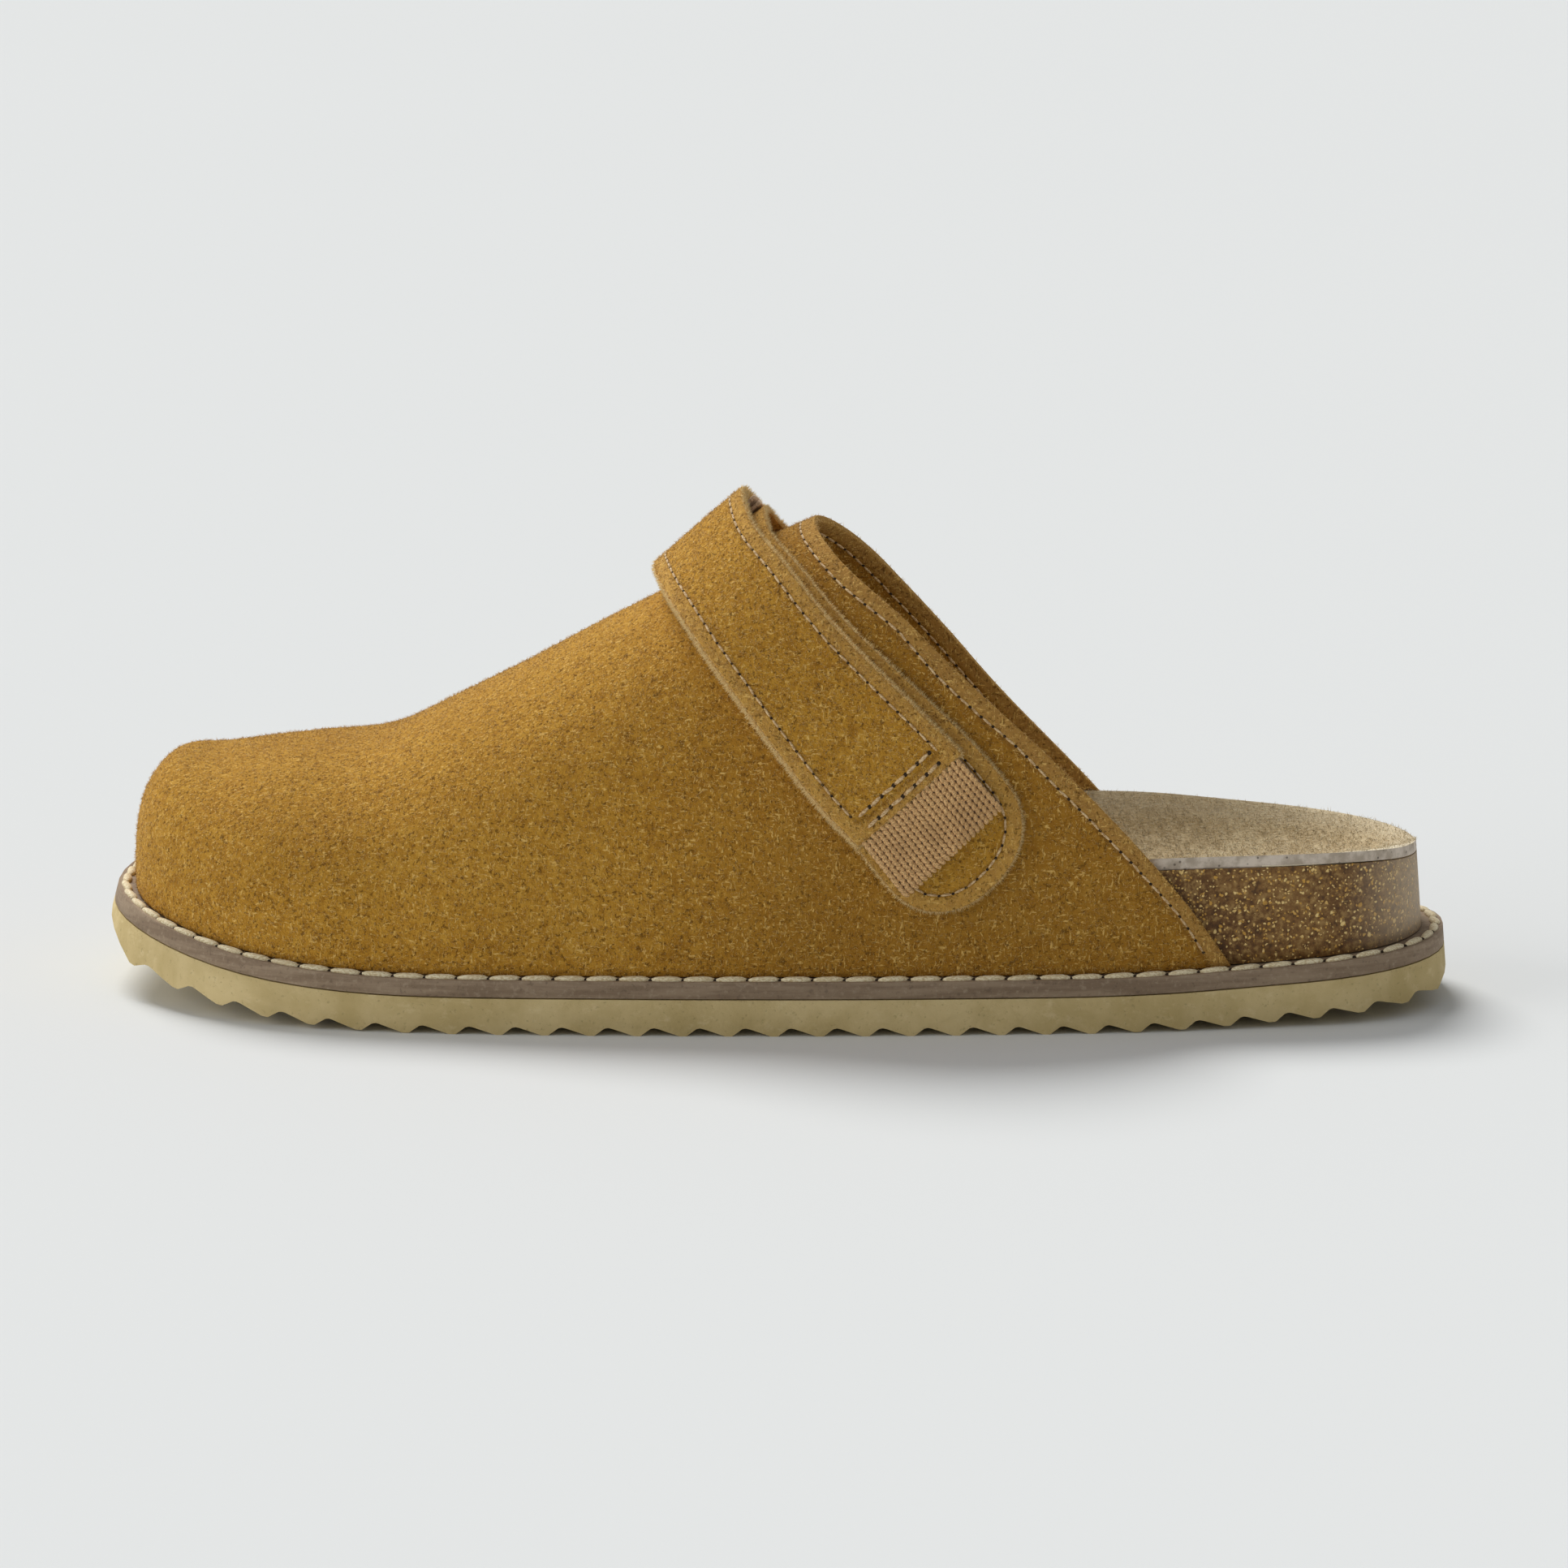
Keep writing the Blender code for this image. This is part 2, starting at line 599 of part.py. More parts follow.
def build_straps(collection):
    material = plain_material("strap_suede", (0.42, 0.24, 0.07), 0.95)
    webbing = plain_material("webbing", (0.38, 0.25, 0.14), 0.8)
    ridge = BAND[-1].reach
    on_flap = CLEARANCE * 2 + FLAP_THICKNESS
    flap_span = (-FLAP_REACH, 2 * ridge - FLAP_SEAM)
    strap_span = (0.0, 2 * ridge - STRAP_SEAM)
    tab_span = (-TAB_LENGTH, -CLEARANCE)
    flap_edges = (FLAP_FRONT, FLAP_REAR)
    band("flap", flap_span, flap_edges, "flap", CLEARANCE, FLAP_THICKNESS, FLAP_ROUND, FLAP_ROWS,
         collection, material)
    band("strap", strap_span, (-1.0, 1.0), "strap", on_flap, STRAP_THICKNESS, 0.0, STRAP_ROWS,
         collection, material)
    band("pull_tab", tab_span, (-TAB_WIDTH, TAB_WIDTH), "strap", on_flap + CLEARANCE,
         TAB_THICKNESS, 0.0, TAB_ROWS, collection, webbing)


def main():
    clear_scene()
    shoe = new_collection("clog_slipper")
    cutters = new_collection("cutters")
    build_outsole(shoe, cutters)
    build_welt(shoe, cutters)
    build_footbed(shoe)
    build_sock(shoe)
    build_upper(shoe)
    build_straps(shoe)


main()
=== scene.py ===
import math

import bmesh
import bpy
import numpy as np
from mathutils import Matrix, Vector, noise
from mathutils.bvhtree import BVHTree
from mathutils.kdtree import KDTree


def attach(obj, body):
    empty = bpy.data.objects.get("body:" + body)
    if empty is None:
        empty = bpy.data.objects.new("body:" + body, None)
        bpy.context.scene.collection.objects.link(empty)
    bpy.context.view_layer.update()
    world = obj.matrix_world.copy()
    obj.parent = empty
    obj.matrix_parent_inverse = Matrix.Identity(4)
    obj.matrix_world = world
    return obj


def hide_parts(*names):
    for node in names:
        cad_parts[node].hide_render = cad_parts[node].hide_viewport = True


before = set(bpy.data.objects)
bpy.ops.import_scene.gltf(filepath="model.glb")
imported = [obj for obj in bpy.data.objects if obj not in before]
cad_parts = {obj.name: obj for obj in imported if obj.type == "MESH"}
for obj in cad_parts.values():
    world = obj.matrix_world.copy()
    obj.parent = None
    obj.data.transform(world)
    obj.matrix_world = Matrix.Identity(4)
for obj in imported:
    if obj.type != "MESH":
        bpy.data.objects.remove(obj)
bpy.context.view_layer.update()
mm = 0.001
weldGap = 0.01 * mm
lineStep = 0.5 * mm     # between the points of a measured line
lineReach = 6           # points looked ahead and back for a line's direction
broadWindow = 31        # points in a running average along a line
fineWindow = 13
print("solids loaded")


# the view
view = {
    "turn": 4.48,            # degrees round the shoe, towards the heel
    "rise": 11.24,           # degrees above the floor
    "distance": 1.4,
    "lens": 151.27,
    "target": (0.00213, 0.0, 0.04296),
}


def addCamera(s):
    turn, rise = math.radians(s["turn"]), math.radians(s["rise"])
    aim = Vector((-math.sin(turn) * math.cos(rise), math.cos(turn) * math.cos(rise), -math.sin(rise)))
    place = Vector(s["target"]) - aim * s["distance"]
    bpy.ops.object.camera_add(location=place, rotation=aim.to_track_quat("-Z", "Y").to_euler())
    camera = bpy.context.object
    camera.data.lens = s["lens"]
    camera.data.sensor_width = 36
    camera.data.clip_start = 0.05
    camera.data.clip_end = 60
    bpy.context.scene.camera = camera


addCamera(view)


# small helpers
def pickOnly(piece):
    bpy.ops.object.select_all(action="DESELECT")
    piece.select_set(True)
    bpy.context.view_layer.objects.active = piece


def applyAll(piece):
    pickOnly(piece)
    for modifier in list(piece.modifiers):
        bpy.ops.object.modifier_apply(modifier=modifier.name)


def weldedCopy(nodeName, pieceName):
    # a copy of a solid with its seams welded and its triangles paired up again
    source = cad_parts[nodeName]
    piece = source.copy()
    piece.data = source.data.copy()
    piece.name = pieceName
    bpy.context.scene.collection.objects.link(piece)
    piece.parent = None
    piece.matrix_world = Matrix.Identity(4)
    piece.data.transform(source.matrix_world)
    pickOnly(piece)
    bpy.ops.mesh.customdata_custom_splitnormals_clear()
    bpy.ops.object.mode_set(mode="EDIT")
    bpy.ops.mesh.select_all(action="SELECT")
    bpy.ops.mesh.remove_doubles(threshold=weldGap)
    bpy.ops.mesh.tris_convert_to_quads(face_threshold=0.9, shape_threshold=1.2)
    bpy.ops.object.mode_set(mode="OBJECT")
    piece.data.materials.clear()
    piece.hide_render = False
    piece.hide_viewport = False
    return piece


def creaseSharp(piece, angle):
    form = bmesh.new()
    form.from_mesh(piece.data)
    layer = form.edges.layers.float.get("crease_edge") or form.edges.layers.float.new("crease_edge")
    for edge in form.edges:
        if len(edge.link_faces) == 2 and edge.calc_face_angle(0.0) > math.radians(angle):
            edge[layer] = 1.0
    form.to_mesh(piece.data)
    form.free()


def soften(piece, levels, bevel, segments, angle=40):
    # smooth the faces between the sharp edges, then round those edges
    creaseSharp(piece, angle)
    if levels:
        smooth = piece.modifiers.new("smooth", "SUBSURF")
        smooth.levels = levels
        smooth.render_levels = levels
    if bevel:
        edge = piece.modifiers.new("edge", "BEVEL")
        edge.width = bevel
        edge.segments = segments
        edge.limit_method = "ANGLE"
        edge.angle_limit = math.radians(angle)
        edge.harden_normals = False
    applyAll(piece)
    bpy.ops.object.shade_smooth()


def patchFaces(piece, seedKey, angle=40):
    # the faces that run smoothly on from the one the key rates highest, their borders and a search tree
    form = bmesh.new()
    form.from_mesh(piece.data)
    form.normal_update()
    form.faces.ensure_lookup_table()
    seed = max(form.faces, key=seedKey)
    found = {seed.index}
    waiting = [seed]
    while waiting:
        face = waiting.pop()
        for edge in face.edges:
            if len(edge.link_faces) != 2 or edge.calc_face_angle(0.0) > math.radians(angle):
                continue
            for other in edge.link_faces:
                if other.index not in found:
                    found.add(other.index)
                    waiting.append(other)
    chains = {}
    for edge in form.edges:
        inside = [f for f in edge.link_faces if f.index in found]
        if len(inside) == 1:
            a, b = edge.verts
            chains.setdefault(a.index, []).append(b.index)
            chains.setdefault(b.index, []).append(a.index)
    places = [v.co.copy() for v in form.verts]
    faceList = [[v.index for v in form.faces[i].verts] for i in sorted(found)]
    form.free()
    loops = []
    while chains:
        start = next(iter(chains))
        loop = [start]
        here, before = start, None
        while True:
            options = [n for n in chains[here] if n != before]
            following = options[0]
            if following == start or following in loop[-3:]:
                break
            loop.append(following)
            before, here = here, following
            if len(loop) > len(places):
                break
        for index in loop:
            chains.pop(index, None)
        loops.append([places[i] for i in loop])
    tree = BVHTree.FromPolygons(places, faceList)
    return found, loops, tree


def runsOf(rows):
    # how far along a line each of its points lies
    return np.concatenate([[0], np.cumsum(np.linalg.norm(np.diff(rows, axis=0), axis=1))])


def pointAt(t, runs, rows):
    return Vector([float(np.interp(t, runs, rows[:, k])) for k in range(3)])


def evenly(points, step, closed=False):
    # the same line with its points an even step apart
    line = np.array([tuple(p) for p in points])
    if closed:
        line = np.vstack([line, line[:1]])
    runs = runsOf(line)
    count = max(2, int(round(runs[-1] / step)))
    at = np.linspace(0, runs[-1], count + 1)
    if closed:
        at = at[:-1]
    return [pointAt(t, runs, line) for t in at]


def splitAtCorners(loop, reach=lineReach, angle=38):
    # a closed line as separate sides, cut where it turns sharply
    points = evenly(loop, lineStep, closed=True)
    n = len(points)
    if n < 4 * reach:
        return [points + points[:1]]
    bend = []
    for i in range(n):
        a = (points[i] - points[i - reach]).normalized()
        b = (points[(i + reach) % n] - points[i]).normalized()
        bend.append(math.degrees(math.acos(max(-1, min(1, a.dot(b))))))
    corners = []
    for i in range(n):
        near = [bend[(i + k) % n] for k in range(-reach, reach + 1)]
        if bend[i] > angle and bend[i] >= max(near) and (not corners or i - corners[-1] > reach):
            corners.append(i)
    if len(corners) < 2:
        return [points + points[:1]]
    sides = []
    for a, b in zip(corners, corners[1:] + [corners[0] + n]):
        sides.append([points[k % n] for k in range(a, b + 1)])
    return sides


def evened(rows, window, closed):
    # a running average along a line
    rows = np.array(rows, float)
    if len(rows) < 3 * window:
        return rows
    kernel = np.ones(window) / window
    mode = "wrap" if closed else "edge"
    padded = [np.pad(rows[:, k], window // 2, mode=mode) for k in range(3)]
    return np.stack([np.convolve(column, kernel, "valid") for column in padded], 1)


def insetLine(points, tree, gap, trim=0.0, closed=False):
    # the line moved in over the surface by a gap, with the surface's normals
    points = evenly(points, lineStep, closed)
    n = len(points)
    ahead, back = [], []
    for i in range(n):
        ahead.append(tuple(points[(i + lineReach) % n] if closed else points[min(n - 1, i + lineReach)]))
        back.append(tuple(points[i - lineReach] if closed else points[max(0, i - lineReach)]))
    ups = evened([tuple(tree.find_nearest(p)[1]) for p in points], broadWindow, closed)
    inward = evened(np.cross(ups, np.array(ahead) - np.array(back)), broadWindow, closed)
    inward /= np.linalg.norm(inward, axis=1)[:, None] + 1e-12

    def misfit(sign):
        total = 0.0
        for i in range(0, n, max(1, n // 24)):
            found = tree.find_nearest(points[i] + Vector(inward[i]) * gap * sign)
            total += abs((found[0] - points[i]).length - gap)
        return total

    sign = 1 if misfit(1) < misfit(-1) else -1
    line = [tree.find_nearest(points[i] + Vector(inward[i]) * gap * sign) for i in range(n)]
    places = [f[0] for f in line]
    normals = [f[1] for f in line]
    cut = int(trim / lineStep)
    if cut:
        places, normals = places[cut:-cut], normals[cut:-cut]
    return places, normals


def stations(line, pitch, closed=False):
    # places, directions and normals one pitch apart along a line
    places, normals = line
    data = evened([tuple(p) for p in places], fineWindow, closed)
    ups = evened([tuple(p) for p in normals], fineWindow, closed)
    if closed:
        data = np.vstack([data, data[:1]])
        ups = np.vstack([ups, ups[:1]])
    runs = runsOf(data)
    count = int(runs[-1] / pitch)
    if closed:
        count = int(round(runs[-1] / pitch))
        pitch = runs[-1] / count
    found = []
    for i in range(count):
        t = (i + 0.5) * pitch
        along = pointAt(t + pitch * 0.3, runs, data) - pointAt(t - pitch * 0.3, runs, data)
        found.append((pointAt(t, runs, data), along.normalized(), pointAt(t, runs, ups).normalized()))
    return found


def frameOf(place, along, up, turn=0.0, lift=0.0):
    side = up.cross(along).normalized()
    up = along.cross(side).normalized()
    basis = Matrix((along, side, up)).transposed().to_4x4()
    return Matrix.Translation(place + up * lift) @ basis @ Matrix.Rotation(turn, 4, "Z")


def copyAt(name, template, matrices, material):
    # one modelled shape repeated: each copy has its own mesh, then they become one piece
    copies = []
    for matrix in matrices:
        item = template.copy()
        item.data = template.data.copy()
        item.data.transform(matrix)
        bpy.context.scene.collection.objects.link(item)
        copies.append(item)
    bpy.ops.object.select_all(action="DESELECT")
    for item in copies:
        item.select_set(True)
    piece = copies[0]
    bpy.context.view_layer.objects.active = piece
    bpy.ops.object.join()
    piece.name = name
    bpy.ops.object.shade_smooth()
    piece.data.materials.clear()
    piece.data.materials.append(material)
    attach(piece, "root")


def threadShape(name, length, width, height, twist=0.0):
    # one lens of thread, lying along X
    bpy.ops.object.select_all(action="DESELECT")
    bpy.ops.mesh.primitive_uv_sphere_add(segments=10, ring_count=8, radius=0.5, location=(0, 0, 0))
    shape = bpy.context.object
    shape.name = name
    bpy.ops.object.mode_set(mode="EDIT")
    bpy.ops.mesh.select_all(action="SELECT")
    bpy.ops.transform.rotate(value=math.pi / 2, orient_axis="Y", center_override=(0, 0, 0))
    bpy.ops.transform.resize(value=(length, width, height), center_override=(0, 0, 0))
    bpy.ops.object.mode_set(mode="OBJECT")
    for v in shape.data.vertices:      # fuller towards the ends than a plain lens
        t = abs(v.co.x) / (length / 2)
        full = 1 + 0.45 * t * t * (1 - t) * 2
        v.co.y *= full
        v.co.z *= full
        turn = twist * v.co.x / length
        v.co.y, v.co.z = (v.co.y * math.cos(turn) - v.co.z * math.sin(turn),
                          v.co.y * math.sin(turn) + v.co.z * math.cos(turn))
    return shape


def dropShape(shape):
    bpy.data.objects.remove(shape, do_unlink=True)


# node helpers
def newMaterial(name):
    material = bpy.data.materials.new(name)
    material.use_nodes = True
    tree = material.node_tree
    shader = tree.nodes["Principled BSDF"]
    coords = tree.nodes.new("ShaderNodeTexCoord")
    return material, tree, shader, coords.outputs["Object"]


def plug(tree, socket, value):
    if hasattr(value, "links"):
        tree.links.new(value, socket)
    elif isinstance(value, tuple):
        socket.default_value = (*value, 1.0) if len(value) == 3 and socket.type == "RGBA" else value
    else:
        socket.default_value = value


def noiseOf(tree, vector, scale, detail=3.0, rough=0.55, distortion=0.0):
    node = tree.nodes.new("ShaderNodeTexNoise")
    tree.links.new(vector, node.inputs["Vector"])
    node.inputs["Scale"].default_value = scale
    node.inputs["Detail"].default_value = detail
    node.inputs["Roughness"].default_value = rough
    node.inputs["Distortion"].default_value = distortion
    return node.outputs["Fac"]


def cellsOf(tree, vector, scale, output):
    node = tree.nodes.new("ShaderNodeTexVoronoi")
    tree.links.new(vector, node.inputs["Vector"])
    node.inputs["Scale"].default_value = scale
    return node.outputs[output]


def mapped(tree, vector, scale, turn=(0, 0, 0)):
    node = tree.nodes.new("ShaderNodeMapping")
    tree.links.new(vector, node.inputs["Vector"])
    node.inputs["Scale"].default_value = scale
    node.inputs["Rotation"].default_value = turn
    return node.outputs["Vector"]


def between(tree, value, low, high, toLow=0.0, toHigh=1.0):
    node = tree.nodes.new("ShaderNodeMapRange")
    node.interpolation_type = "SMOOTHSTEP"
    plug(tree, node.inputs["Value"], value)
    node.inputs["From Min"].default_value = low
    node.inputs["From Max"].default_value = high
    node.inputs["To Min"].default_value = toLow
    node.inputs["To Max"].default_value = toHigh
    return node.outputs["Result"]


def blendOf(tree, factor, a, b, kind="MIX"):
    node = tree.nodes.new("ShaderNodeMix")
    node.data_type = "RGBA"
    node.blend_type = kind
    plug(tree, node.inputs["Factor"], factor)
    plug(tree, node.inputs[6], a)
    plug(tree, node.inputs[7], b)
    return node.outputs[2]


def sumOf(tree, a, b, kind="ADD"):
    node = tree.nodes.new("ShaderNodeMath")
    node.operation = kind
    plug(tree, node.inputs[0], a)
    plug(tree, node.inputs[1], b)
    return node.outputs[0]


def axisOf(tree, vector, axis):
    node = tree.nodes.new("ShaderNodeSeparateXYZ")
    tree.links.new(vector, node.inputs[0])
    return node.outputs[axis]


def bumpOf(tree, height, distance, strength, before=None):
    node = tree.nodes.new("ShaderNodeBump")
    tree.links.new(height, node.inputs["Height"])
    node.inputs["Distance"].default_value = distance
    node.inputs["Strength"].default_value = strength
    if before is not None:
        tree.links.new(before, node.inputs["Normal"])
    return node.outputs["Normal"]


def attributeOf(tree, name):
    node = tree.nodes.new("ShaderNodeAttribute")
    node.attribute_name = name
    return node.outputs["Fac"]


# floor and light
studio = {"floor": 14.0, "paint": (0.790, 0.812, 0.820), "sky": 0.30,
          # strength, spread in degrees, where it comes from
          "lamps": ((2.42, 28, (-0.34, 0.56, 0.78)), (1.0, 50, (-1.0, -0.34, 0.36)))}


def addStudio(s):
    bpy.ops.mesh.primitive_plane_add(size=s["floor"], location=(0, 0, 0))
    floor = bpy.context.object
    floor.name = "studioFloor"
    material, tree, shader, coords = newMaterial("floorPaint")
    cloud = noiseOf(tree, coords, 1.3, 2, 0.5)
    pale = s["paint"]
    colour = blendOf(tree, cloud, tuple(c * 0.985 for c in pale), pale)
    tree.links.new(colour, shader.inputs["Base Color"])
    shader.inputs["Roughness"].default_value = 0.85
    shader.inputs["Specular IOR Level"].default_value = 0.1
    floor.data.materials.append(material)
    world = bpy.data.worlds.new("studioAir")
    bpy.context.scene.world = world
    world.use_nodes = True
    world.node_tree.nodes["Background"].inputs["Color"].default_value = (0.97, 0.985, 1.0, 1.0)
    world.node_tree.nodes["Background"].inputs["Strength"].default_value = s["sky"]
    for strength, spread, source in s["lamps"]:
        aim = Vector(source)
        bpy.ops.object.light_add(type="SUN", location=aim, rotation=aim.to_track_quat("Z", "Y").to_euler())
        lamp = bpy.context.object
        lamp.data.energy = strength
        lamp.data.angle = math.radians(spread)
        lamp.data.color = (1.0, 0.985, 0.96)
    bpy.context.scene.view_settings.view_transform = "Standard"
    bpy.context.scene.view_settings.look = "None"


addStudio(studio)
print("studio lit")


# suede
suedeLook = {
    "dark": (0.41, 0.190, 0.020),
    "mid": (0.535, 0.267, 0.031),
    "light": (0.66, 0.362, 0.056),
    "fibre": (0.92, 0.61, 0.19),
    "pit": (0.16, 0.072, 0.008),
    # painted shade towards the heel
    "deep": (0.27, 0.112, 0.012),
    "edge": (0.72, 0.47, 0.20),      # pressed band beside a sewn edge
    # painted shade along the seam line
    "groove": (0.22, 0.10, 0.018),
}


def suedeMaterial(name, s, edgeBand, paintHeelShade=False):
    material, tree, shader, coords = newMaterial(name)
    grain = noiseOf(tree, coords, 1220, 3, 0.70)
    strandA = noiseOf(tree, mapped(tree, coords, (2150, 2150, 720), (0.5, 0.2, 0.4)), 1.0, 2, 0.5, 0.8)
    strandB = noiseOf(tree, mapped(tree, coords, (720, 2150, 2150), (0.3, 0.9, -0.5)), 1.0, 2, 0.5, 0.8)
    mottle = noiseOf(tree, coords, 520, 4, 0.66, 0.3)
    patches = noiseOf(tree, coords, 22, 3, 0.5, 0.3)
    tint = sumOf(tree, sumOf(tree, mottle, 0.72, "MULTIPLY"), sumOf(tree, patches, 0.28, "MULTIPLY"))
    colour = blendOf(tree, between(tree, tint, 0.36, 0.52), s["dark"], s["mid"])
    colour = blendOf(tree, between(tree, tint, 0.50, 0.68), colour, s["light"])
    strands = sumOf(tree, strandA, strandB, "MAXIMUM")
    if paintHeelShade:      # painted shade: darker towards the heel, standing for the shade on the rear of the side
        heelShade = between(tree, axisOf(tree, coords, 0), -0.035, 0.02, 0.0, 0.5)
        colour = blendOf(tree, heelShade, colour, s["deep"])
    gap = attributeOf(tree, "edgeGap")
    ragged = sumOf(tree, gap, sumOf(tree, sumOf(tree, mottle, 0.5, "SUBTRACT"), 0.9, "MULTIPLY"))
    pressed = between(tree, ragged, edgeBand, edgeBand - 1.3, 0.0, 0.22)
    colour = blendOf(tree, pressed, colour, s["edge"])
    # painted shade: a narrow dark line along the seam, standing for the shade in a groove the surface does
    # not have
    grooveShade = sumOf(tree, between(tree, gap, edgeBand - 0.9, edgeBand - 0.1),
                between(tree, gap, edgeBand + 0.7, edgeBand - 0.1), "MULTIPLY")
    colour = blendOf(tree, sumOf(tree, grooveShade, 0.5, "MULTIPLY"), colour, s["groove"])
    colour = blendOf(tree, between(tree, strands, 0.59, 0.70, 0.0, 0.72), colour, s["fibre"])
    colour = blendOf(tree, between(tree, grain, 0.46, 0.35, 0.0, 0.8), colour, s["pit"])
    tree.links.new(colour, shader.inputs["Base Color"])
    height = sumOf(tree, sumOf(tree, strands, 0.7, "MULTIPLY"), sumOf(tree, grain, 0.5, "MULTIPLY"))
    normal = bumpOf(tree, mottle, 0.0006, 0.45)
    normal = bumpOf(tree, height, 0.0006, 1.0, normal)
    tree.links.new(normal, shader.inputs["Normal"])
    shader.inputs["Roughness"].default_value = 0.95
    shader.inputs["Specular IOR Level"].default_value = 0.15
    shader.inputs["Sheen Weight"].default_value = 0.14
    shader.inputs["Sheen Roughness"].default_value = 0.5
    shader.inputs["Sheen Tint"].default_value = (0.95, 0.68, 0.32, 1.0)
    return material


def fibreMaterial(name, colourA, colourB):
    material, tree, shader, coords = newMaterial(name)
    tint = noiseOf(tree, coords, 2200, 2, 0.5)
    colour = blendOf(tree, between(tree, tint, 0.40, 0.60), colourA, colourB)
    tree.links.new(colour, shader.inputs["Base Color"])
    shader.inputs["Roughness"].default_value = 0.8
    shader.inputs["Sheen Weight"].default_value = 0.2
    shader.inputs["Sheen Tint"].default_value = (1.0, 0.78, 0.45, 1.0)
    return material


def threadMaterial(name, pale, deep):
    # plied thread: fine slanted ridges
    material, tree, shader, coords = newMaterial(name)
    ply = noiseOf(tree, mapped(tree, coords, (1500, 3600, 3600), (0.3, 0.5, 0.6)), 1.0, 2, 0.5)
    soil = noiseOf(tree, coords, 260, 2, 0.5)
    colour = blendOf(tree, between(tree, ply, 0.36, 0.62), deep, pale)
    colour = blendOf(tree, between(tree, soil, 0.50, 0.72, 0.0, 0.45), colour, deep)
    tree.links.new(colour, shader.inputs["Base Color"])
    tree.links.new(bumpOf(tree, ply, 0.0002, 0.7), shader.inputs["Normal"])
    shader.inputs["Roughness"].default_value = 0.72
    shader.inputs["Sheen Weight"].default_value = 0.15
    return material


def holeMaterial():
    # painted shade: near-black marks that stand for the shade inside the needle holes
    material, tree, shader, coords = newMaterial("needleHole")
    tint = noiseOf(tree, coords, 1200, 2, 0.5)
    colour = blendOf(tree, tint, (0.012, 0.007, 0.004), (0.05, 0.028, 0.012))
    tree.links.new(colour, shader.inputs["Base Color"])
    shader.inputs["Roughness"].default_value = 1.0
    return material


def storeEdgeGap(piece, lines):
    # every vertex learns how far it lies from the nearest of these lines, in millimetres
    points = [p for line in lines for p in line]
    tree = KDTree(len(points))
    for i, p in enumerate(points):
        tree.insert(p, i)
    tree.balance()
    layer = piece.data.attributes.new("edgeGap", "FLOAT", "POINT")
    values = [tree.find(v.co)[2] / mm for v in piece.data.vertices]
    layer.data.foreach_set("value", values)


def growNap(name, piece, s, material, keep):
    # short fibres that stand off the kept faces of a surface, each a closed needle
    tipRise = 0.08 * mm
    rootSink = 0.05 * mm
    rng = np.random.default_rng(s["seed"])
    mesh = piece.data
    mesh.calc_loop_triangles()
    corners = np.array([t.vertices[:] for t in mesh.loop_triangles])
    owner = np.array([t.polygon_index for t in mesh.loop_triangles])
    places = np.array([v.co[:] for v in mesh.vertices])
    corners = corners[np.isin(owner, np.fromiter(keep, int))]
    a, b, c = places[corners[:, 0]], places[corners[:, 1]], places[corners[:, 2]]
    cross = np.cross(b - a, c - a)
    area = np.linalg.norm(cross, axis=1) / 2
    normals = cross / (2 * area[:, None] + 1e-15)
    pick = rng.choice(len(area), s["count"], p=area / area.sum())
    u, v = rng.random(s["count"]), rng.random(s["count"])
    over = u + v > 1
    u[over], v[over] = 1 - u[over], 1 - v[over]
    root = a[pick] + (b - a)[pick] * u[:, None] + (c - a)[pick] * v[:, None]
    up = normals[pick]
    swirl = rng.normal(size=(s["count"], 3))
    swirl -= (swirl * up).sum(1)[:, None] * up
    swirl /= np.linalg.norm(swirl, axis=1)[:, None] + 1e-12
    lay = np.array(s.get("lay", (0, 0, 0)), float)
    swirl = swirl + lay - (up @ lay)[:, None] * up
    stand = rng.uniform(*s["stand"], s["count"])
    direction = swirl * (1 - stand)[:, None] + up * stand[:, None]
    direction /= np.linalg.norm(direction, axis=1)[:, None]
    length = rng.uniform(*s["length"], s["count"]) * mm
    half = s["width"] * mm / 2
    side = np.cross(direction, up)
    side /= np.linalg.norm(side, axis=1)[:, None] + 1e-12
    third = np.cross(side, direction)
    tip = root + direction * length[:, None] + up * tipRise
    low = root - up * rootSink
    points = np.stack([
        low + side * half,
        low - side * half * 0.5 + third * half * 0.87,
        low - side * half * 0.5 - third * half * 0.87,
        tip], 1).reshape(-1, 3)
    base = np.arange(s["count"])[:, None] * 4
    faces = np.concatenate([base + [0, 2, 1], base + [0, 1, 3], base + [1, 2, 3], base + [2, 0, 3]])
    nap = bpy.data.meshes.new(name)
    nap.vertices.add(len(points))
    nap.vertices.foreach_set("co", points.ravel())
    nap.loops.add(len(faces) * 3)
    nap.loops.foreach_set("vertex_index", faces.ravel())
    nap.polygons.add(len(faces))
    nap.polygons.foreach_set("loop_start", np.arange(len(faces)) * 3)
    nap.update(calc_edges=True)
    nap.validate()
    item = bpy.data.objects.new(name, nap)
    bpy.context.scene.collection.objects.link(item)
    nap.materials.append(material)
    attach(item, "root")


paintedHoleShade = holeMaterial()
threadTan = threadMaterial("threadTan", (0.84, 0.62, 0.34), (0.46, 0.27, 0.11))
threadCream = threadMaterial("threadCream", (0.96, 0.86, 0.60), (0.66, 0.52, 0.29))
fibreTan = fibreMaterial("fibreTan", (0.36, 0.17, 0.022), (0.80, 0.52, 0.18))
# pale fibres for the cut edges: partly their own colour, partly a painted highlight of the light on those
# edges
fibrePale = fibreMaterial("fibrePale", (0.82, 0.52, 0.17), (1.0, 0.78, 0.38))
fibreCream = fibreMaterial("fibreCream", (0.50, 0.40, 0.24), (0.86, 0.76, 0.56))
print("materials for suede and thread made")


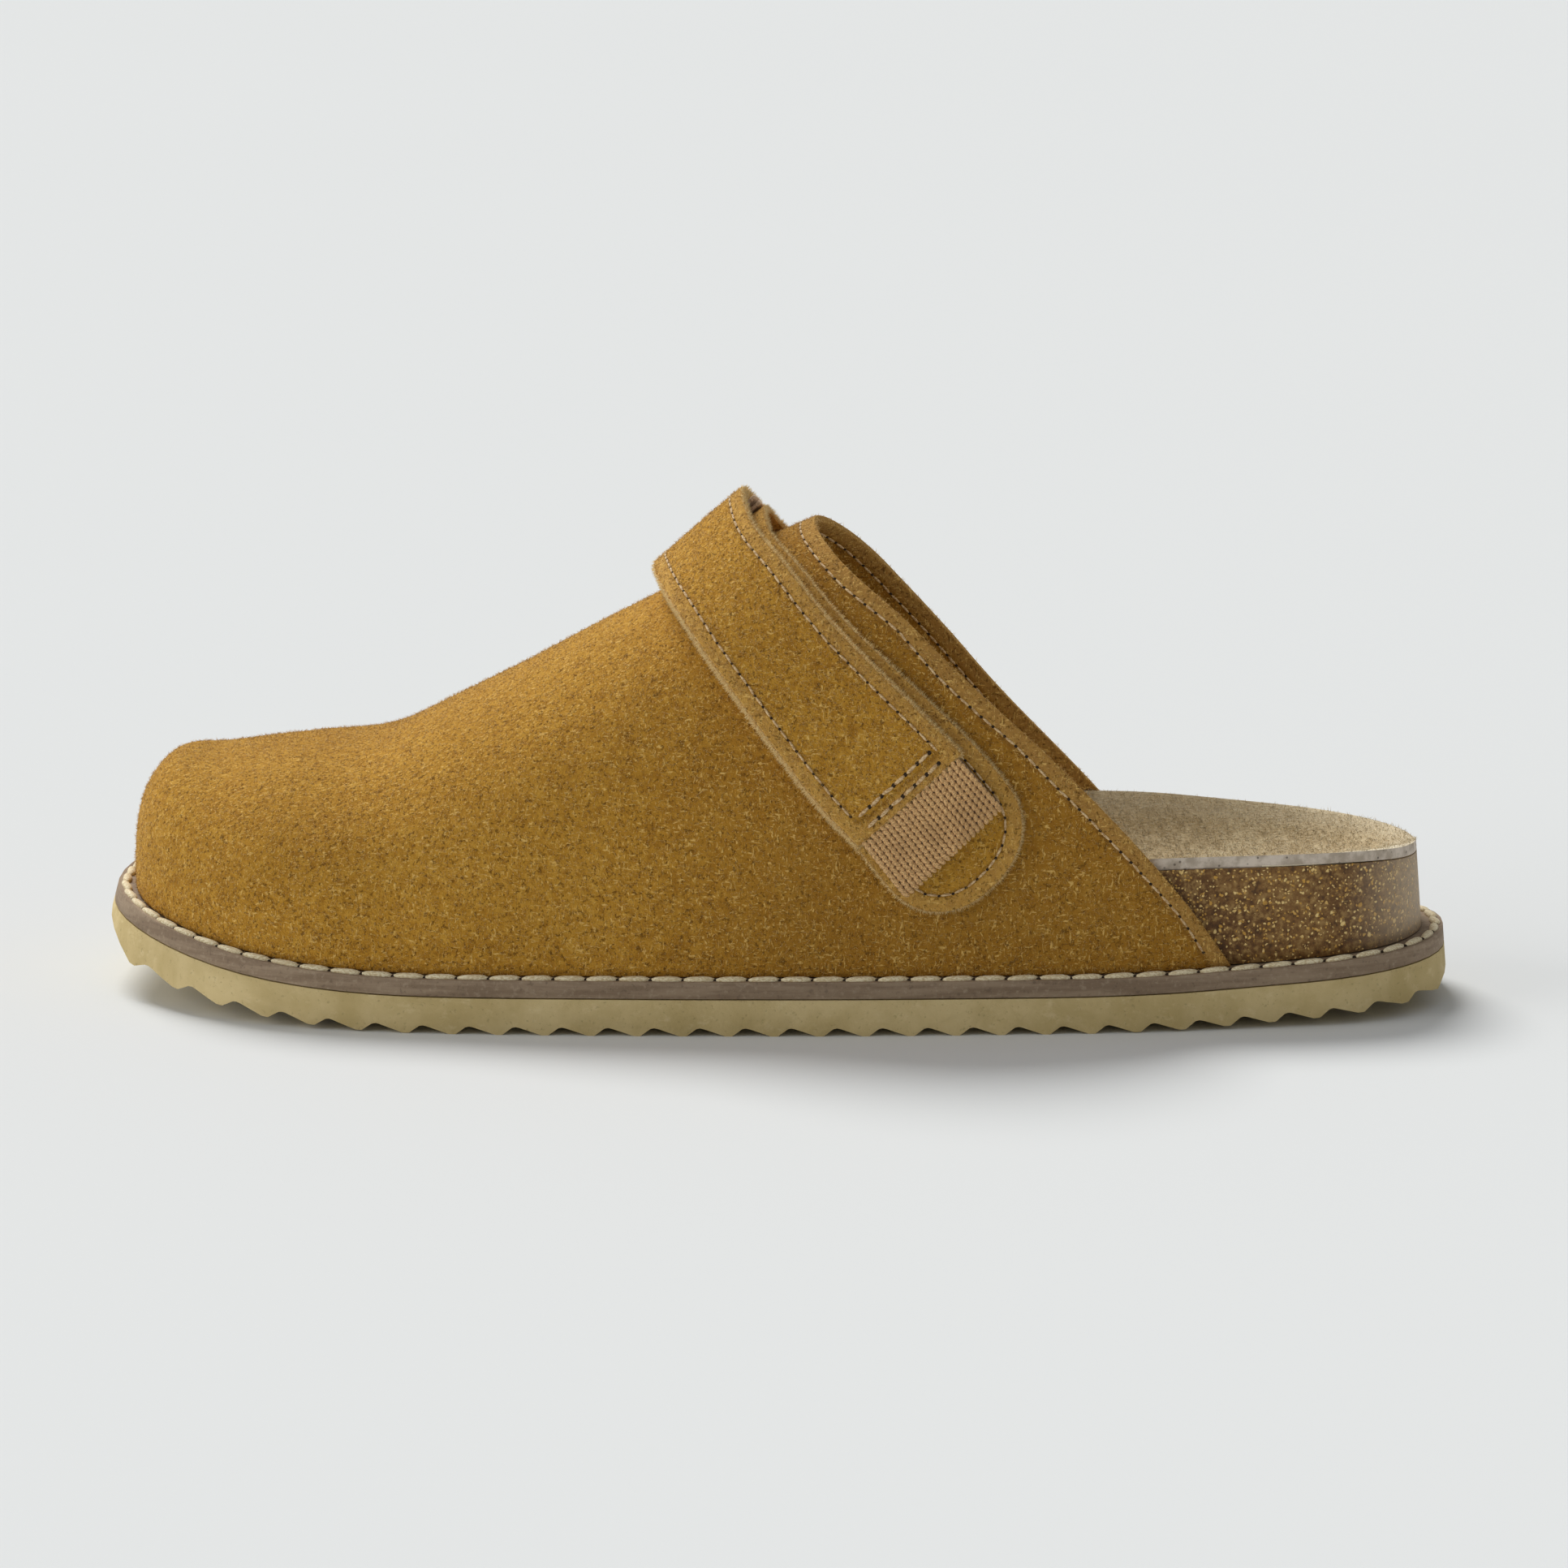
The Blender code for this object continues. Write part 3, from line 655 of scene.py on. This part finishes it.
def sew(name, line, s, thread, closed=False):
    # a row of stitches with the needle holes between them
    found = stations(line, s["pitch"] * mm, closed)
    length, width, height = (s[key] * mm for key in ("length", "width", "height"))
    shape = threadShape("stitchShape", length, width, height, s.get("twist", 0.0))
    rng = np.random.default_rng(s["seed"])
    places = []
    for place, along, up in found:
        turn = math.radians(s.get("lean", 0) + rng.normal(0, s.get("jitter", 3)))
        places.append(frameOf(place, along, up, turn, s["lift"] * mm))
    copyAt(name, shape, places, thread)
    dropShape(shape)
    wide = s["hole"] * mm
    hole = threadShape("holeShape", wide, wide * 0.85, wide * 0.5)
    holeTurn = 0.3
    holeLift = s.get("holeLift", -0.05) * mm
    dots = []
    for place, along, up in found:
        dots.append(frameOf(place + along * s["pitch"] * mm / 2, along, up, holeTurn, holeLift))
    copyAt(name + "Holes", hole, dots, paintedHoleShade)
    dropShape(hole)


# upper
upper = {
    "smooth": 2,
    "edgeRound": 0.7 * mm,
    "bandWidth": 3.9,           # millimetres from the collar's edge to its seam
    "seamTrim": 2.0,            # millimetres left unsewn at each end of it
    # soft hollows and ridges: from, to, half width, depth (ridge below zero), all in millimetres
    "folds": (
        ((-86, -30, 40), (-80, 10, 50), 9, 0.55),
        ((-78, -46, 24), (-74, -36, 42), 8, 0.45),
        ((-60, -48, 22), (-48, -36, 46), 10, -0.5),
        ((-34, -47, 20), (-20, -34, 54), 9, 0.45),
        ((-4, -46, 16), (4, -38, 44), 8, -0.4),
        ((14, -45, 14), (22, -40, 34), 7, 0.4),
        ((-100, -20, 46), (-96, 20, 47), 8, -0.5),
        ((-70, 40, 26), (-62, 30, 48), 9, 0.5),
        ((-30, 38, 24), (-14, 26, 62), 9, 0.45),
    ),
    "unevenness": 0.16 * mm,
    "lumps": (55, 130),         # scales of the broad and of the fine unevenness
}


def pressFolds(piece, faces, s):
    mesh = piece.data
    broad, fine = s["lumps"]
    used = set()
    for index in faces:
        used.update(mesh.polygons[index].vertices)
    for index in used:
        v = mesh.vertices[index]
        push = noise.noise(v.co * broad) * s["unevenness"] + noise.noise(v.co * fine) * s["unevenness"] * 0.5
        for start, end, half, depth in s["folds"]:
            a, b = Vector(start) * mm, Vector(end) * mm
            t = max(0.0, min(1.0, (v.co - a).dot(b - a) / (b - a).length_squared))
            gap = (v.co - a.lerp(b, t)).length / (half * mm)
            if gap < 3:
                push -= depth * mm * math.exp(-gap * gap)
        v.co += v.normal * push


def outerSkin(f):
    return f.calc_area() * f.normal.y * f.calc_center_median().y


def innerSkin(f):
    return -f.calc_area() * f.normal.y * max(0.0, f.calc_center_median().y)


def collarOf(loops):
    sides = [side for loop in loops for side in splitAtCorners(loop)]
    return max(sides, key=lambda side: max(p.z for p in side))


upperPiece = weldedCopy("upper", "upperSuede")
_, upperLoops, _ = patchFaces(upperPiece, outerSkin, 45)
_, liningLoops, _ = patchFaces(upperPiece, innerSkin, 45)
collarLine, liningLine = collarOf(upperLoops), collarOf(liningLoops)
soften(upperPiece, upper["smooth"], upper["edgeRound"], 2)
upperFaces, _, _ = patchFaces(upperPiece, outerSkin, 22)
pressFolds(upperPiece, upperFaces, upper)
upperFaces, _, upperTree = patchFaces(upperPiece, outerSkin, 22)
liningFaces, _, liningTree = patchFaces(upperPiece, innerSkin, 22)
print("upper:", len(upperFaces), "faces outside and", len(liningFaces), "inside")
storeEdgeGap(upperPiece, [collarLine])
upperPiece.data.materials.append(suedeMaterial("upperSuedeNap", suedeLook, upper["bandWidth"], True))
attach(upperPiece, "root")
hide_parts("upper")

collarStitch = {"pitch": 3.1, "length": 2.5, "width": 0.5, "height": 0.42, "lift": 0.02, "hole": 0.75,
                "seed": 3}
collarSeam = insetLine(collarLine, upperTree, upper["bandWidth"] * mm, upper["seamTrim"] * mm)
sew("collarSeam", collarSeam, collarStitch, threadTan)

liningSeam = insetLine(liningLine, liningTree, upper["bandWidth"] * mm, upper["seamTrim"] * mm)
sew("liningSeam", liningSeam, dict(collarStitch, seed=4), threadTan)

upperNap = {"count": 48000, "length": (0.45, 1.15), "stand": (0.1, 0.5), "width": 0.13,
            "lay": (0.2, 0, -0.3), "seed": 11}
growNap("upperNap", upperPiece, upperNap, fibreTan, upperFaces)
print("upper sewn")


# straps
straps = {
    "flap": {"smooth": 2, "edgeRound": 0.35 * mm, "bandWidth": 3.6, "trim": 3.0},
    "strap": {"smooth": 2, "edgeRound": 0.45 * mm, "bandWidth": 3.4, "trim": 3.4},
    "stitch": {"pitch": 2.9, "length": 2.35, "width": 0.5, "height": 0.42, "lift": 0.04, "hole": 0.7,
               "seed": 5},
    "endStitch": {"pitch": 3.3, "length": 2.8, "width": 0.75, "height": 0.6, "lift": 0.1, "hole": 1.05,
                  "seed": 6},
    "endRows": (2.0, 5.2),      # millimetres from the sewn end
    "endTrim": 3.2,
}


def topFace(f):
    return f.calc_area() * f.normal.z * f.calc_center_median().z


def dressStrap(nodeName, pieceName, s):
    piece = weldedCopy(nodeName, pieceName)
    _, loops, _ = patchFaces(piece, topFace, 45)
    sides = [side for loop in loops for side in splitAtCorners(loop)]
    soften(piece, s["smooth"], s["edgeRound"], 2)
    faces, _, tree = patchFaces(piece, topFace, 30)
    sides.sort(key=len, reverse=True)
    print(pieceName, "sides", [round(len(side) * lineStep / mm) for side in sides])
    storeEdgeGap(piece, sides)
    piece.data.materials.append(suedeMaterial(pieceName + "Nap", suedeLook, s["bandWidth"]))
    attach(piece, "root")
    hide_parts(nodeName)
    return piece, faces, sides, tree


flapPiece, flapFaces, flapSides, flapTree = dressStrap("flap", "flapSuede", straps["flap"])
strapPiece, strapFaces, strapSides, strapTree = dressStrap("strap", "strapSuede", straps["strap"])

for k, side in enumerate(strapSides[:2]):
    line = insetLine(side, strapTree, straps["strap"]["bandWidth"] * mm, straps["strap"]["trim"] * mm)
    sew("strapSeam%d" % k, line, straps["stitch"], threadTan)
flapSeam = insetLine(flapSides[0], flapTree, straps["flap"]["bandWidth"] * mm, straps["flap"]["trim"] * mm)
sew("flapSeam", flapSeam, straps["stitch"], threadTan)
strapEnds = sorted(strapSides[2:4], key=lambda side: side[len(side) // 2].y)
for k, gap in enumerate(straps["endRows"]):
    for name, side in (("outer", strapEnds[0]), ("inner", strapEnds[1])):
        line = insetLine(side, strapTree, gap * mm, straps["endTrim"] * mm)
        sew(name + "EndSeam%d" % k, line, straps["endStitch"], threadTan)

tape = {"from": -1.0, "to": 34.0, "past": 0.9, "width": 9.0, "thick": 0.9, "drops": (3.5, 5.1), "rows": 8,
        "inset": 2.0, "edgeRound": 0.25}


def tapeLayer(name, side, s, drop, material):
    # a ribbon that lies under the strap's far rear edge
    edge = evenly(side, lineStep)
    inner, ups = insetLine(side, strapTree, s["inset"] * mm)
    shared = range(min(len(edge), len(inner)))
    chosen = [i for i in shared if s["from"] * mm < edge[i].y < s["to"] * mm][::3]
    bpy.ops.object.select_all(action="DESELECT")
    bpy.ops.mesh.primitive_grid_add(x_subdivisions=len(chosen) - 1, y_subdivisions=s["rows"], size=1)
    ribbon = bpy.context.object
    ribbon.name = name
    across = s["rows"] + 1
    grid = [v.co.copy() for v in ribbon.data.vertices]
    order = sorted(range(len(grid)), key=lambda k: (round(grid[k].x, 5), round(grid[k].y, 5)))
    for place, k in enumerate(order):
        i, j = chosen[place // across], place % across
        out = (edge[i] - inner[i]).normalized()
        reach = s["past"] - s["width"] * j / s["rows"]
        ribbon.data.vertices[k].co = edge[i] + out * reach * mm - ups[i] * drop * mm
    wall = ribbon.modifiers.new("wall", "SOLIDIFY")
    wall.thickness = s["thick"] * mm
    wall.offset = 0
    edgeRound = ribbon.modifiers.new("edge", "BEVEL")
    edgeRound.width = s["edgeRound"] * mm
    edgeRound.segments = 2
    edgeRound.limit_method = "ANGLE"
    applyAll(ribbon)
    bpy.ops.object.shade_smooth()
    ribbon.data.materials.append(material)
    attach(ribbon, "root")


rearSide = max(strapSides[:2], key=lambda side: side[len(side) // 2].x)
tapeCloth = fibreMaterial("tapeCloth", (0.50, 0.33, 0.20), (0.82, 0.62, 0.44))
for k, drop in enumerate(tape["drops"]):
    tapeLayer("strapTape%d" % k, rearSide, tape, drop, tapeCloth)

strapNap = dict(upperNap, count=9500, seed=12)
growNap("strapNap", strapPiece, strapNap, fibreTan, strapFaces)
flapNap = dict(strapNap, count=5000, seed=13)
growNap("flapNap", flapPiece, flapNap, fibreTan, flapFaces)


def sideFaces(piece, faces):
    # the cut edges: what is neither on the top nor underneath
    under, _, _ = patchFaces(piece, lambda f: -topFace(f), 30)
    return set(range(len(piece.data.polygons))) - set(faces) - set(under)


def rawEdgeMaterial():
    # cut suede: pale, felted, in fine layers; the pale colour is partly the suede's own and partly a painted
    # highlight of light on the cut edge
    material, tree, shader, coords = newMaterial("rawSuedeEdge")
    felt = noiseOf(tree, coords, 1400, 4, 0.7)
    layers = noiseOf(tree, mapped(tree, coords, (300, 300, 1400)), 1.0, 3, 0.6)
    tint = sumOf(tree, sumOf(tree, felt, 0.6, "MULTIPLY"), sumOf(tree, layers, 0.4, "MULTIPLY"))
    colour = blendOf(tree, between(tree, tint, 0.38, 0.60), (0.70, 0.41, 0.105), (1.0, 0.72, 0.30))
    tree.links.new(colour, shader.inputs["Base Color"])
    tree.links.new(bumpOf(tree, felt, 0.0006, 1.0), shader.inputs["Normal"])
    shader.inputs["Roughness"].default_value = 0.95
    shader.inputs["Specular IOR Level"].default_value = 0.1
    return material


rawEdge = rawEdgeMaterial()
for piece, faces in ((strapPiece, strapFaces), (flapPiece, flapFaces)):
    piece.data.materials.append(rawEdge)
    for index in sideFaces(piece, faces):
        piece.data.polygons[index].material_index = 1

edgeNap = {"count": 15000, "length": (0.35, 1.25), "stand": (0.35, 0.95), "width": 0.15, "seed": 14}
growNap("strapEdgeNap", strapPiece, edgeNap, fibrePale, sideFaces(strapPiece, strapFaces))
flapEdgeNap = dict(edgeNap, count=12000, seed=15)
growNap("flapEdgeNap", flapPiece, flapEdgeNap, fibrePale, sideFaces(flapPiece, flapFaces))
print("straps sewn")


# pull tab
tab = {"smooth": 2, "columns": 22, "pitch": 1.2, "bead": (1.95, 1.02, 1.0), "slant": 24, "lift": 0.08,
       "edgeRound": 0.6 * mm, "cornerReach": 4}


def webbingMaterial(name, pale, deep):
    material, tree, shader, coords = newMaterial(name)
    yarn = noiseOf(tree, mapped(tree, coords, (4200, 1500, 4200), (0.2, 0.4, 0.5)), 1.0, 2, 0.5)
    tint = noiseOf(tree, coords, 140, 3, 0.5)
    colour = blendOf(tree, between(tree, yarn, 0.34, 0.64), deep, pale)
    colour = blendOf(tree, between(tree, tint, 0.46, 0.70, 0.0, 0.4), colour, deep)
    tree.links.new(colour, shader.inputs["Base Color"])
    tree.links.new(bumpOf(tree, yarn, 0.00022, 0.7), shader.inputs["Normal"])
    shader.inputs["Roughness"].default_value = 0.7
    shader.inputs["Sheen Weight"].default_value = 0.25
    shader.inputs["Sheen Roughness"].default_value = 0.4
    return material


webbing = webbingMaterial("webbingYarn", (0.90, 0.565, 0.245), (0.42, 0.23, 0.08))
# painted shade: the tab's base under the woven loops is dark, standing for the shade between them
webbingShadeBase = webbingMaterial("webbingShadeBase", (0.34, 0.20, 0.085), (0.10, 0.055, 0.022))


def faceOut(f):
    return f.calc_area() * f.normal.dot(Vector((0.0, -0.9, 0.45)))


tabPiece = weldedCopy("pull_tab", "pullTab")
_, tabLoops, _ = patchFaces(tabPiece, faceOut, 45)
tabSides = [side for loop in tabLoops for side in splitAtCorners(loop, tab["cornerReach"])]
soften(tabPiece, tab["smooth"], tab["edgeRound"], 3)
tabFaces, _, tabTree = patchFaces(tabPiece, faceOut, 30)
tabPiece.data.materials.append(webbingShadeBase)
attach(tabPiece, "root")
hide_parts("pull_tab")
tabSides.sort(key=len, reverse=True)
print("pull tab sides", [round(len(side) * lineStep / mm) for side in tabSides], len(tabFaces), "faces")
longA, longB = tabSides[0], tabSides[1]
seamEdge = max((longA, longB), key=lambda side: sum(p.z for p in side) / len(side))
foldEdge = longA if seamEdge is longB else longB
if (seamEdge[0] - foldEdge[0]).length > (seamEdge[0] - foldEdge[-1]).length:
    foldEdge = foldEdge[::-1]
seamRow = evenly(seamEdge, (len(seamEdge) * lineStep) / tab["columns"])
foldRow = evenly(foldEdge, (len(foldEdge) * lineStep) / tab["columns"])
columns = min(len(seamRow), len(foldRow)) - 1
beadShape = threadShape("beadShape", *(size * mm for size in tab["bead"]))
beads = []
for i in range(columns):
    a = (seamRow[i] + seamRow[i + 1]) / 2
    b = (foldRow[i] + foldRow[i + 1]) / 2
    along = (b - a).normalized()
    rows = max(1, int((b - a).length / (tab["pitch"] * mm)))
    for j in range(rows + 1):
        place = a.lerp(b, (j + 0.5 * (i % 2)) / rows)
        spot, up, _, _ = tabTree.find_nearest(place)
        slant = math.radians(tab["slant"]) * (1 if i < columns / 2 else -1)
        beads.append(frameOf(spot, along, up, slant, tab["lift"] * mm))
copyAt("pullTabRibs", beadShape, beads, webbing)
dropShape(beadShape)
print("pull tab woven:", len(beads), "loops")


# footbed and insole
def corkMaterial():
    material, tree, shader, coords = newMaterial("corkGranules")
    broad = noiseOf(tree, coords, 60, 3, 0.55, 0.5)
    fine = noiseOf(tree, coords, 700, 4, 0.68)
    colour = blendOf(tree, between(tree, broad, 0.36, 0.64), (0.150, 0.066, 0.016), (0.235, 0.115, 0.030))
    colour = blendOf(tree, between(tree, fine, 0.46, 0.66, 0.0, 0.7), colour, (0.47, 0.285, 0.095))
    colour = blendOf(tree, between(tree, fine, 0.46, 0.34, 0.0, 0.8), colour, (0.075, 0.034, 0.012))
    bent = tree.nodes.new("ShaderNodeVectorMath")
    bent.operation = "ADD"
    wobble = tree.nodes.new("ShaderNodeTexNoise")
    wobble.inputs["Scale"].default_value = 900
    tree.links.new(coords, wobble.inputs["Vector"])
    shrink = tree.nodes.new("ShaderNodeVectorMath")
    shrink.operation = "SCALE"
    shrink.inputs["Scale"].default_value = 0.0011
    tree.links.new(wobble.outputs["Color"], shrink.inputs[0])
    tree.links.new(coords, bent.inputs[0])
    tree.links.new(shrink.outputs[0], bent.inputs[1])
    ragged = bent.outputs[0]
    chips = None
    # three sizes of pale chip: scale, reach, share of cells
    for scale, reach, share in ((1600, 0.40, 0.64), (1000, 0.36, 0.78), (560, 0.30, 0.91)):
        distance = cellsOf(tree, ragged, scale, "Distance")
        pick = cellsOf(tree, ragged, scale, "Color")
        chance = axisOf(tree, pick, 0)
        inside = between(tree, distance, reach + 0.08, reach - 0.08)
        chip = sumOf(tree, inside, between(tree, chance, share, share + 0.03), "MULTIPLY")
        hue = axisOf(tree, pick, 1)
        gold = blendOf(tree, between(tree, hue, 0.1, 0.9), (0.66, 0.36, 0.07), (0.96, 0.70, 0.28))
        colour = blendOf(tree, chip, colour, gold)
        chips = chip if chips is None else sumOf(tree, chips, chip, "MAXIMUM")
    haze = between(tree, axisOf(tree, coords, 0), 0.119, 0.141, 0.0, 0.6)      # dusty towards the heel
    colour = blendOf(tree, haze, colour, (0.72, 0.60, 0.44))
    tree.links.new(colour, shader.inputs["Base Color"])
    height = sumOf(tree, fine, sumOf(tree, chips, 0.4, "MULTIPLY"))
    tree.links.new(bumpOf(tree, height, 0.0005, 0.7), shader.inputs["Normal"])
    shader.inputs["Roughness"].default_value = 0.62
    shader.inputs["Specular IOR Level"].default_value = 0.35
    return material


def bandMaterial():
    # foam edge of the insole: grey mauve with dark pores
    material, tree, shader, coords = newMaterial("foamBand")
    tint = noiseOf(tree, coords, 300, 4, 0.6)
    colour = blendOf(tree, between(tree, tint, 0.36, 0.64), (0.46, 0.38, 0.29), (0.74, 0.64, 0.53))
    pores = cellsOf(tree, coords, 1000, "Distance")
    chance = axisOf(tree, cellsOf(tree, coords, 1000, "Color"), 0)
    pore = sumOf(tree, between(tree, pores, 0.34, 0.18), between(tree, chance, 0.72, 0.78), "MULTIPLY")
    colour = blendOf(tree, sumOf(tree, pore, 0.7, "MULTIPLY"), colour, (0.06, 0.045, 0.035))
    tree.links.new(colour, shader.inputs["Base Color"])
    tree.links.new(bumpOf(tree, tint, 0.0003, 0.5), shader.inputs["Normal"])
    shader.inputs["Roughness"].default_value = 0.85
    return material


def sockMaterial():
    material, tree, shader, coords = newMaterial("sockSuede")
    mottle = noiseOf(tree, coords, 420, 4, 0.62, 0.4)
    patches = noiseOf(tree, coords, 34, 3, 0.5)
    strand = noiseOf(tree, mapped(tree, coords, (700, 2200, 2200), (0.2, 0.4, 0.5)), 1.0, 2, 0.5)
    grain = noiseOf(tree, coords, 1500, 3, 0.6)
    tint = sumOf(tree, sumOf(tree, mottle, 0.6, "MULTIPLY"), sumOf(tree, patches, 0.4, "MULTIPLY"))
    colour = blendOf(tree, between(tree, tint, 0.38, 0.60), (0.49, 0.36, 0.18), (0.62, 0.475, 0.265))
    colour = blendOf(tree, between(tree, tint, 0.52, 0.68), colour, (0.74, 0.60, 0.36))
    colour = blendOf(tree, between(tree, strand, 0.58, 0.74, 0.0, 0.7), colour, (0.78, 0.66, 0.44))
    colour = blendOf(tree, between(tree, grain, 0.46, 0.34, 0.0, 0.6), colour, (0.20, 0.14, 0.07))
    # painted highlight: pale near the rim, more on the near side, and on the outer side in front of the
    # heel's end, where the rounded rim catches the light from above
    rim = sumOf(tree, attributeOf(tree, "edgeGap"), sumOf(tree, mottle, 2.5, "MULTIPLY"))
    near = between(tree, axisOf(tree, coords, 1), 0.004, -0.014, 0.4, 1.0)
    rimHighlight = sumOf(tree, between(tree, rim, 8.5, 3.5), near, "MULTIPLY")
    colour = blendOf(tree, rimHighlight, colour, (0.90, 0.79, 0.57))
    outer = between(tree, axisOf(tree, coords, 1), 0.012, -0.002)
    sideHighlight = sumOf(tree, outer, between(tree, axisOf(tree, coords, 0), 0.122, 0.088), "MULTIPLY")
    colour = blendOf(tree, sumOf(tree, sideHighlight, 0.75, "MULTIPLY"), colour, (0.88, 0.78, 0.57))
    tree.links.new(colour, shader.inputs["Base Color"])
    normal = bumpOf(tree, mottle, 0.0007, 0.5)
    tree.links.new(bumpOf(tree, strand, 0.0003, 0.7, normal), shader.inputs["Normal"])
    shader.inputs["Roughness"].default_value = 0.95
    shader.inputs["Sheen Weight"].default_value = 0.35
    shader.inputs["Sheen Tint"].default_value = (1.0, 0.93, 0.82, 1.0)
    return material


bed = {
    "smooth": 2,
    "edgeRound": 0.35 * mm,
    "sockRound": 0.8 * mm,
    "rimFrom": 0.03,        # the rim's line counts from here to the heel
    "bandFrom": -0.02,      # the foam edge shows from here to the heel
    "bandSteep": 0.55,      # its faces point up or down less than this
    "bandCentre": 0.06,     # the place that its faces point away from
    "napFrom": -0.01,
    "napUp": 0.1,
}
corkPiece = weldedCopy("footbed", "corkFootbed")
soften(corkPiece, bed["smooth"], bed["edgeRound"], 2)
corkPiece.data.materials.append(corkMaterial())
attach(corkPiece, "root")
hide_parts("footbed")

sockPiece = weldedCopy("insole", "insoleSuede")
_, sockLoops, _ = patchFaces(sockPiece, lambda f: f.normal.z * f.calc_area(), 45)
sockRim = [p for loop in sockLoops for p in evenly(loop, lineStep, True) if p.x > bed["rimFrom"]]
soften(sockPiece, bed["smooth"], bed["sockRound"], 3)
storeEdgeGap(sockPiece, [sockRim])
sockPiece.data.materials.append(sockMaterial())
sockPiece.data.materials.append(bandMaterial())
rimFaces = 0
for polygon in sockPiece.data.polygons:
    if abs(polygon.normal.z) < bed["bandSteep"] and polygon.center.x > bed["bandFrom"]:
        out = polygon.center.x - bed["bandCentre"]
        side = polygon.normal.x * out + polygon.normal.y * polygon.center.y
        if side > 0:
            polygon.material_index = 1
            rimFaces += 1
print("insole: rim faces", rimFaces)
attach(sockPiece, "root")
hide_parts("insole")
topFaces = {p.index for p in sockPiece.data.polygons
            if p.material_index == 0 and p.normal.z > bed["napUp"] and p.center.x > bed["napFrom"]}
sockNap = {"count": 36000, "length": (0.4, 1.25), "stand": (0.2, 0.75), "width": 0.12, "seed": 31}
growNap("insoleNap", sockPiece, sockNap, fibreCream, topFaces)
print("footbed dressed")


# welt and outsole
def weltMaterial():
    material, tree, shader, coords = newMaterial("weltRubber")
    streak = noiseOf(tree, mapped(tree, coords, (60, 60, 700)), 1.0, 4, 0.6)
    fine = noiseOf(tree, coords, 900, 3, 0.6)
    colour = blendOf(tree, between(tree, streak, 0.34, 0.66), (0.235, 0.160, 0.098), (0.335, 0.243, 0.158))
    colour = blendOf(tree, between(tree, fine, 0.52, 0.74, 0.0, 0.5), colour, (0.46, 0.36, 0.25))
    colour = blendOf(tree, between(tree, fine, 0.42, 0.30, 0.0, 0.45), colour, (0.12, 0.08, 0.05))
    tree.links.new(colour, shader.inputs["Base Color"])
    tree.links.new(bumpOf(tree, sumOf(tree, streak, fine), 0.00025, 0.45), shader.inputs["Normal"])
    shader.inputs["Roughness"].default_value = 0.75
    return material


def outsoleMaterial():
    material, tree, shader, coords = newMaterial("outsoleRubber")
    cloud = noiseOf(tree, coords, 55, 4, 0.6, 0.3)
    fine = noiseOf(tree, coords, 1100, 3, 0.6)
    dust = noiseOf(tree, mapped(tree, coords, (300, 300, 420)), 1.0, 4, 0.7)
    colour = blendOf(tree, between(tree, cloud, 0.34, 0.66), (0.55, 0.42, 0.185), (0.69, 0.545, 0.275))
    colour = blendOf(tree, between(tree, dust, 0.54, 0.74, 0.0, 0.5), colour, (0.78, 0.64, 0.36))
    colour = blendOf(tree, between(tree, fine, 0.40, 0.28, 0.0, 0.4), colour, (0.27, 0.20, 0.08))
    tree.links.new(colour, shader.inputs["Base Color"])
    tree.links.new(bumpOf(tree, sumOf(tree, dust, fine), 0.0003, 0.4), shader.inputs["Normal"])
    shader.inputs["Roughness"].default_value = 0.8
    shader.inputs["Specular IOR Level"].default_value = 0.3
    return material


sole = {"weltRound": 0.4 * mm, "outsoleRound": 0.45 * mm, "seamGap": 1.75 * mm}


def cleanLayer(piece):
    # flat runs of triangles become single faces before their edges are rounded
    pickOnly(piece)
    bpy.ops.object.mode_set(mode="EDIT")
    bpy.ops.mesh.select_all(action="SELECT")
    bpy.ops.mesh.dissolve_limited(angle_limit=math.radians(0.6))
    bpy.ops.object.mode_set(mode="OBJECT")


weltPiece = weldedCopy("welt", "weltStrip")
cleanLayer(weltPiece)
soften(weltPiece, 0, sole["weltRound"], 2, 50)
pickOnly(weltPiece)
bpy.ops.object.shade_smooth_by_angle(angle=math.radians(32))
_, weltLoops, weltTree = patchFaces(weltPiece, lambda f: f.normal.z * f.calc_area(), 25)
weltPiece.data.materials.append(weltMaterial())
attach(weltPiece, "root")
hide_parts("welt")

outsolePiece = weldedCopy("outsole", "outsoleTread")
cleanLayer(outsolePiece)
soften(outsolePiece, 0, sole["outsoleRound"], 2, 40)
pickOnly(outsolePiece)
bpy.ops.object.shade_smooth_by_angle(angle=math.radians(30))
outsolePiece.data.materials.append(outsoleMaterial())
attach(outsolePiece, "root")
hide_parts("outsole")

weltEdge = max(weltLoops, key=lambda loop: sum((a - b).length for a, b in zip(loop, loop[1:])))
weltStitch = {"pitch": 6.7, "length": 6.7, "width": 1.9, "height": 1.5, "lift": 0.15, "hole": 1.1,
              "holeLift": 0.12, "jitter": 2.5, "lean": 4, "twist": 0.9, "seed": 8}
weltSeam = insetLine(weltEdge, weltTree, sole["seamGap"], closed=True)
sew("weltSeam", weltSeam, weltStitch, threadCream, True)
print("sole dressed")
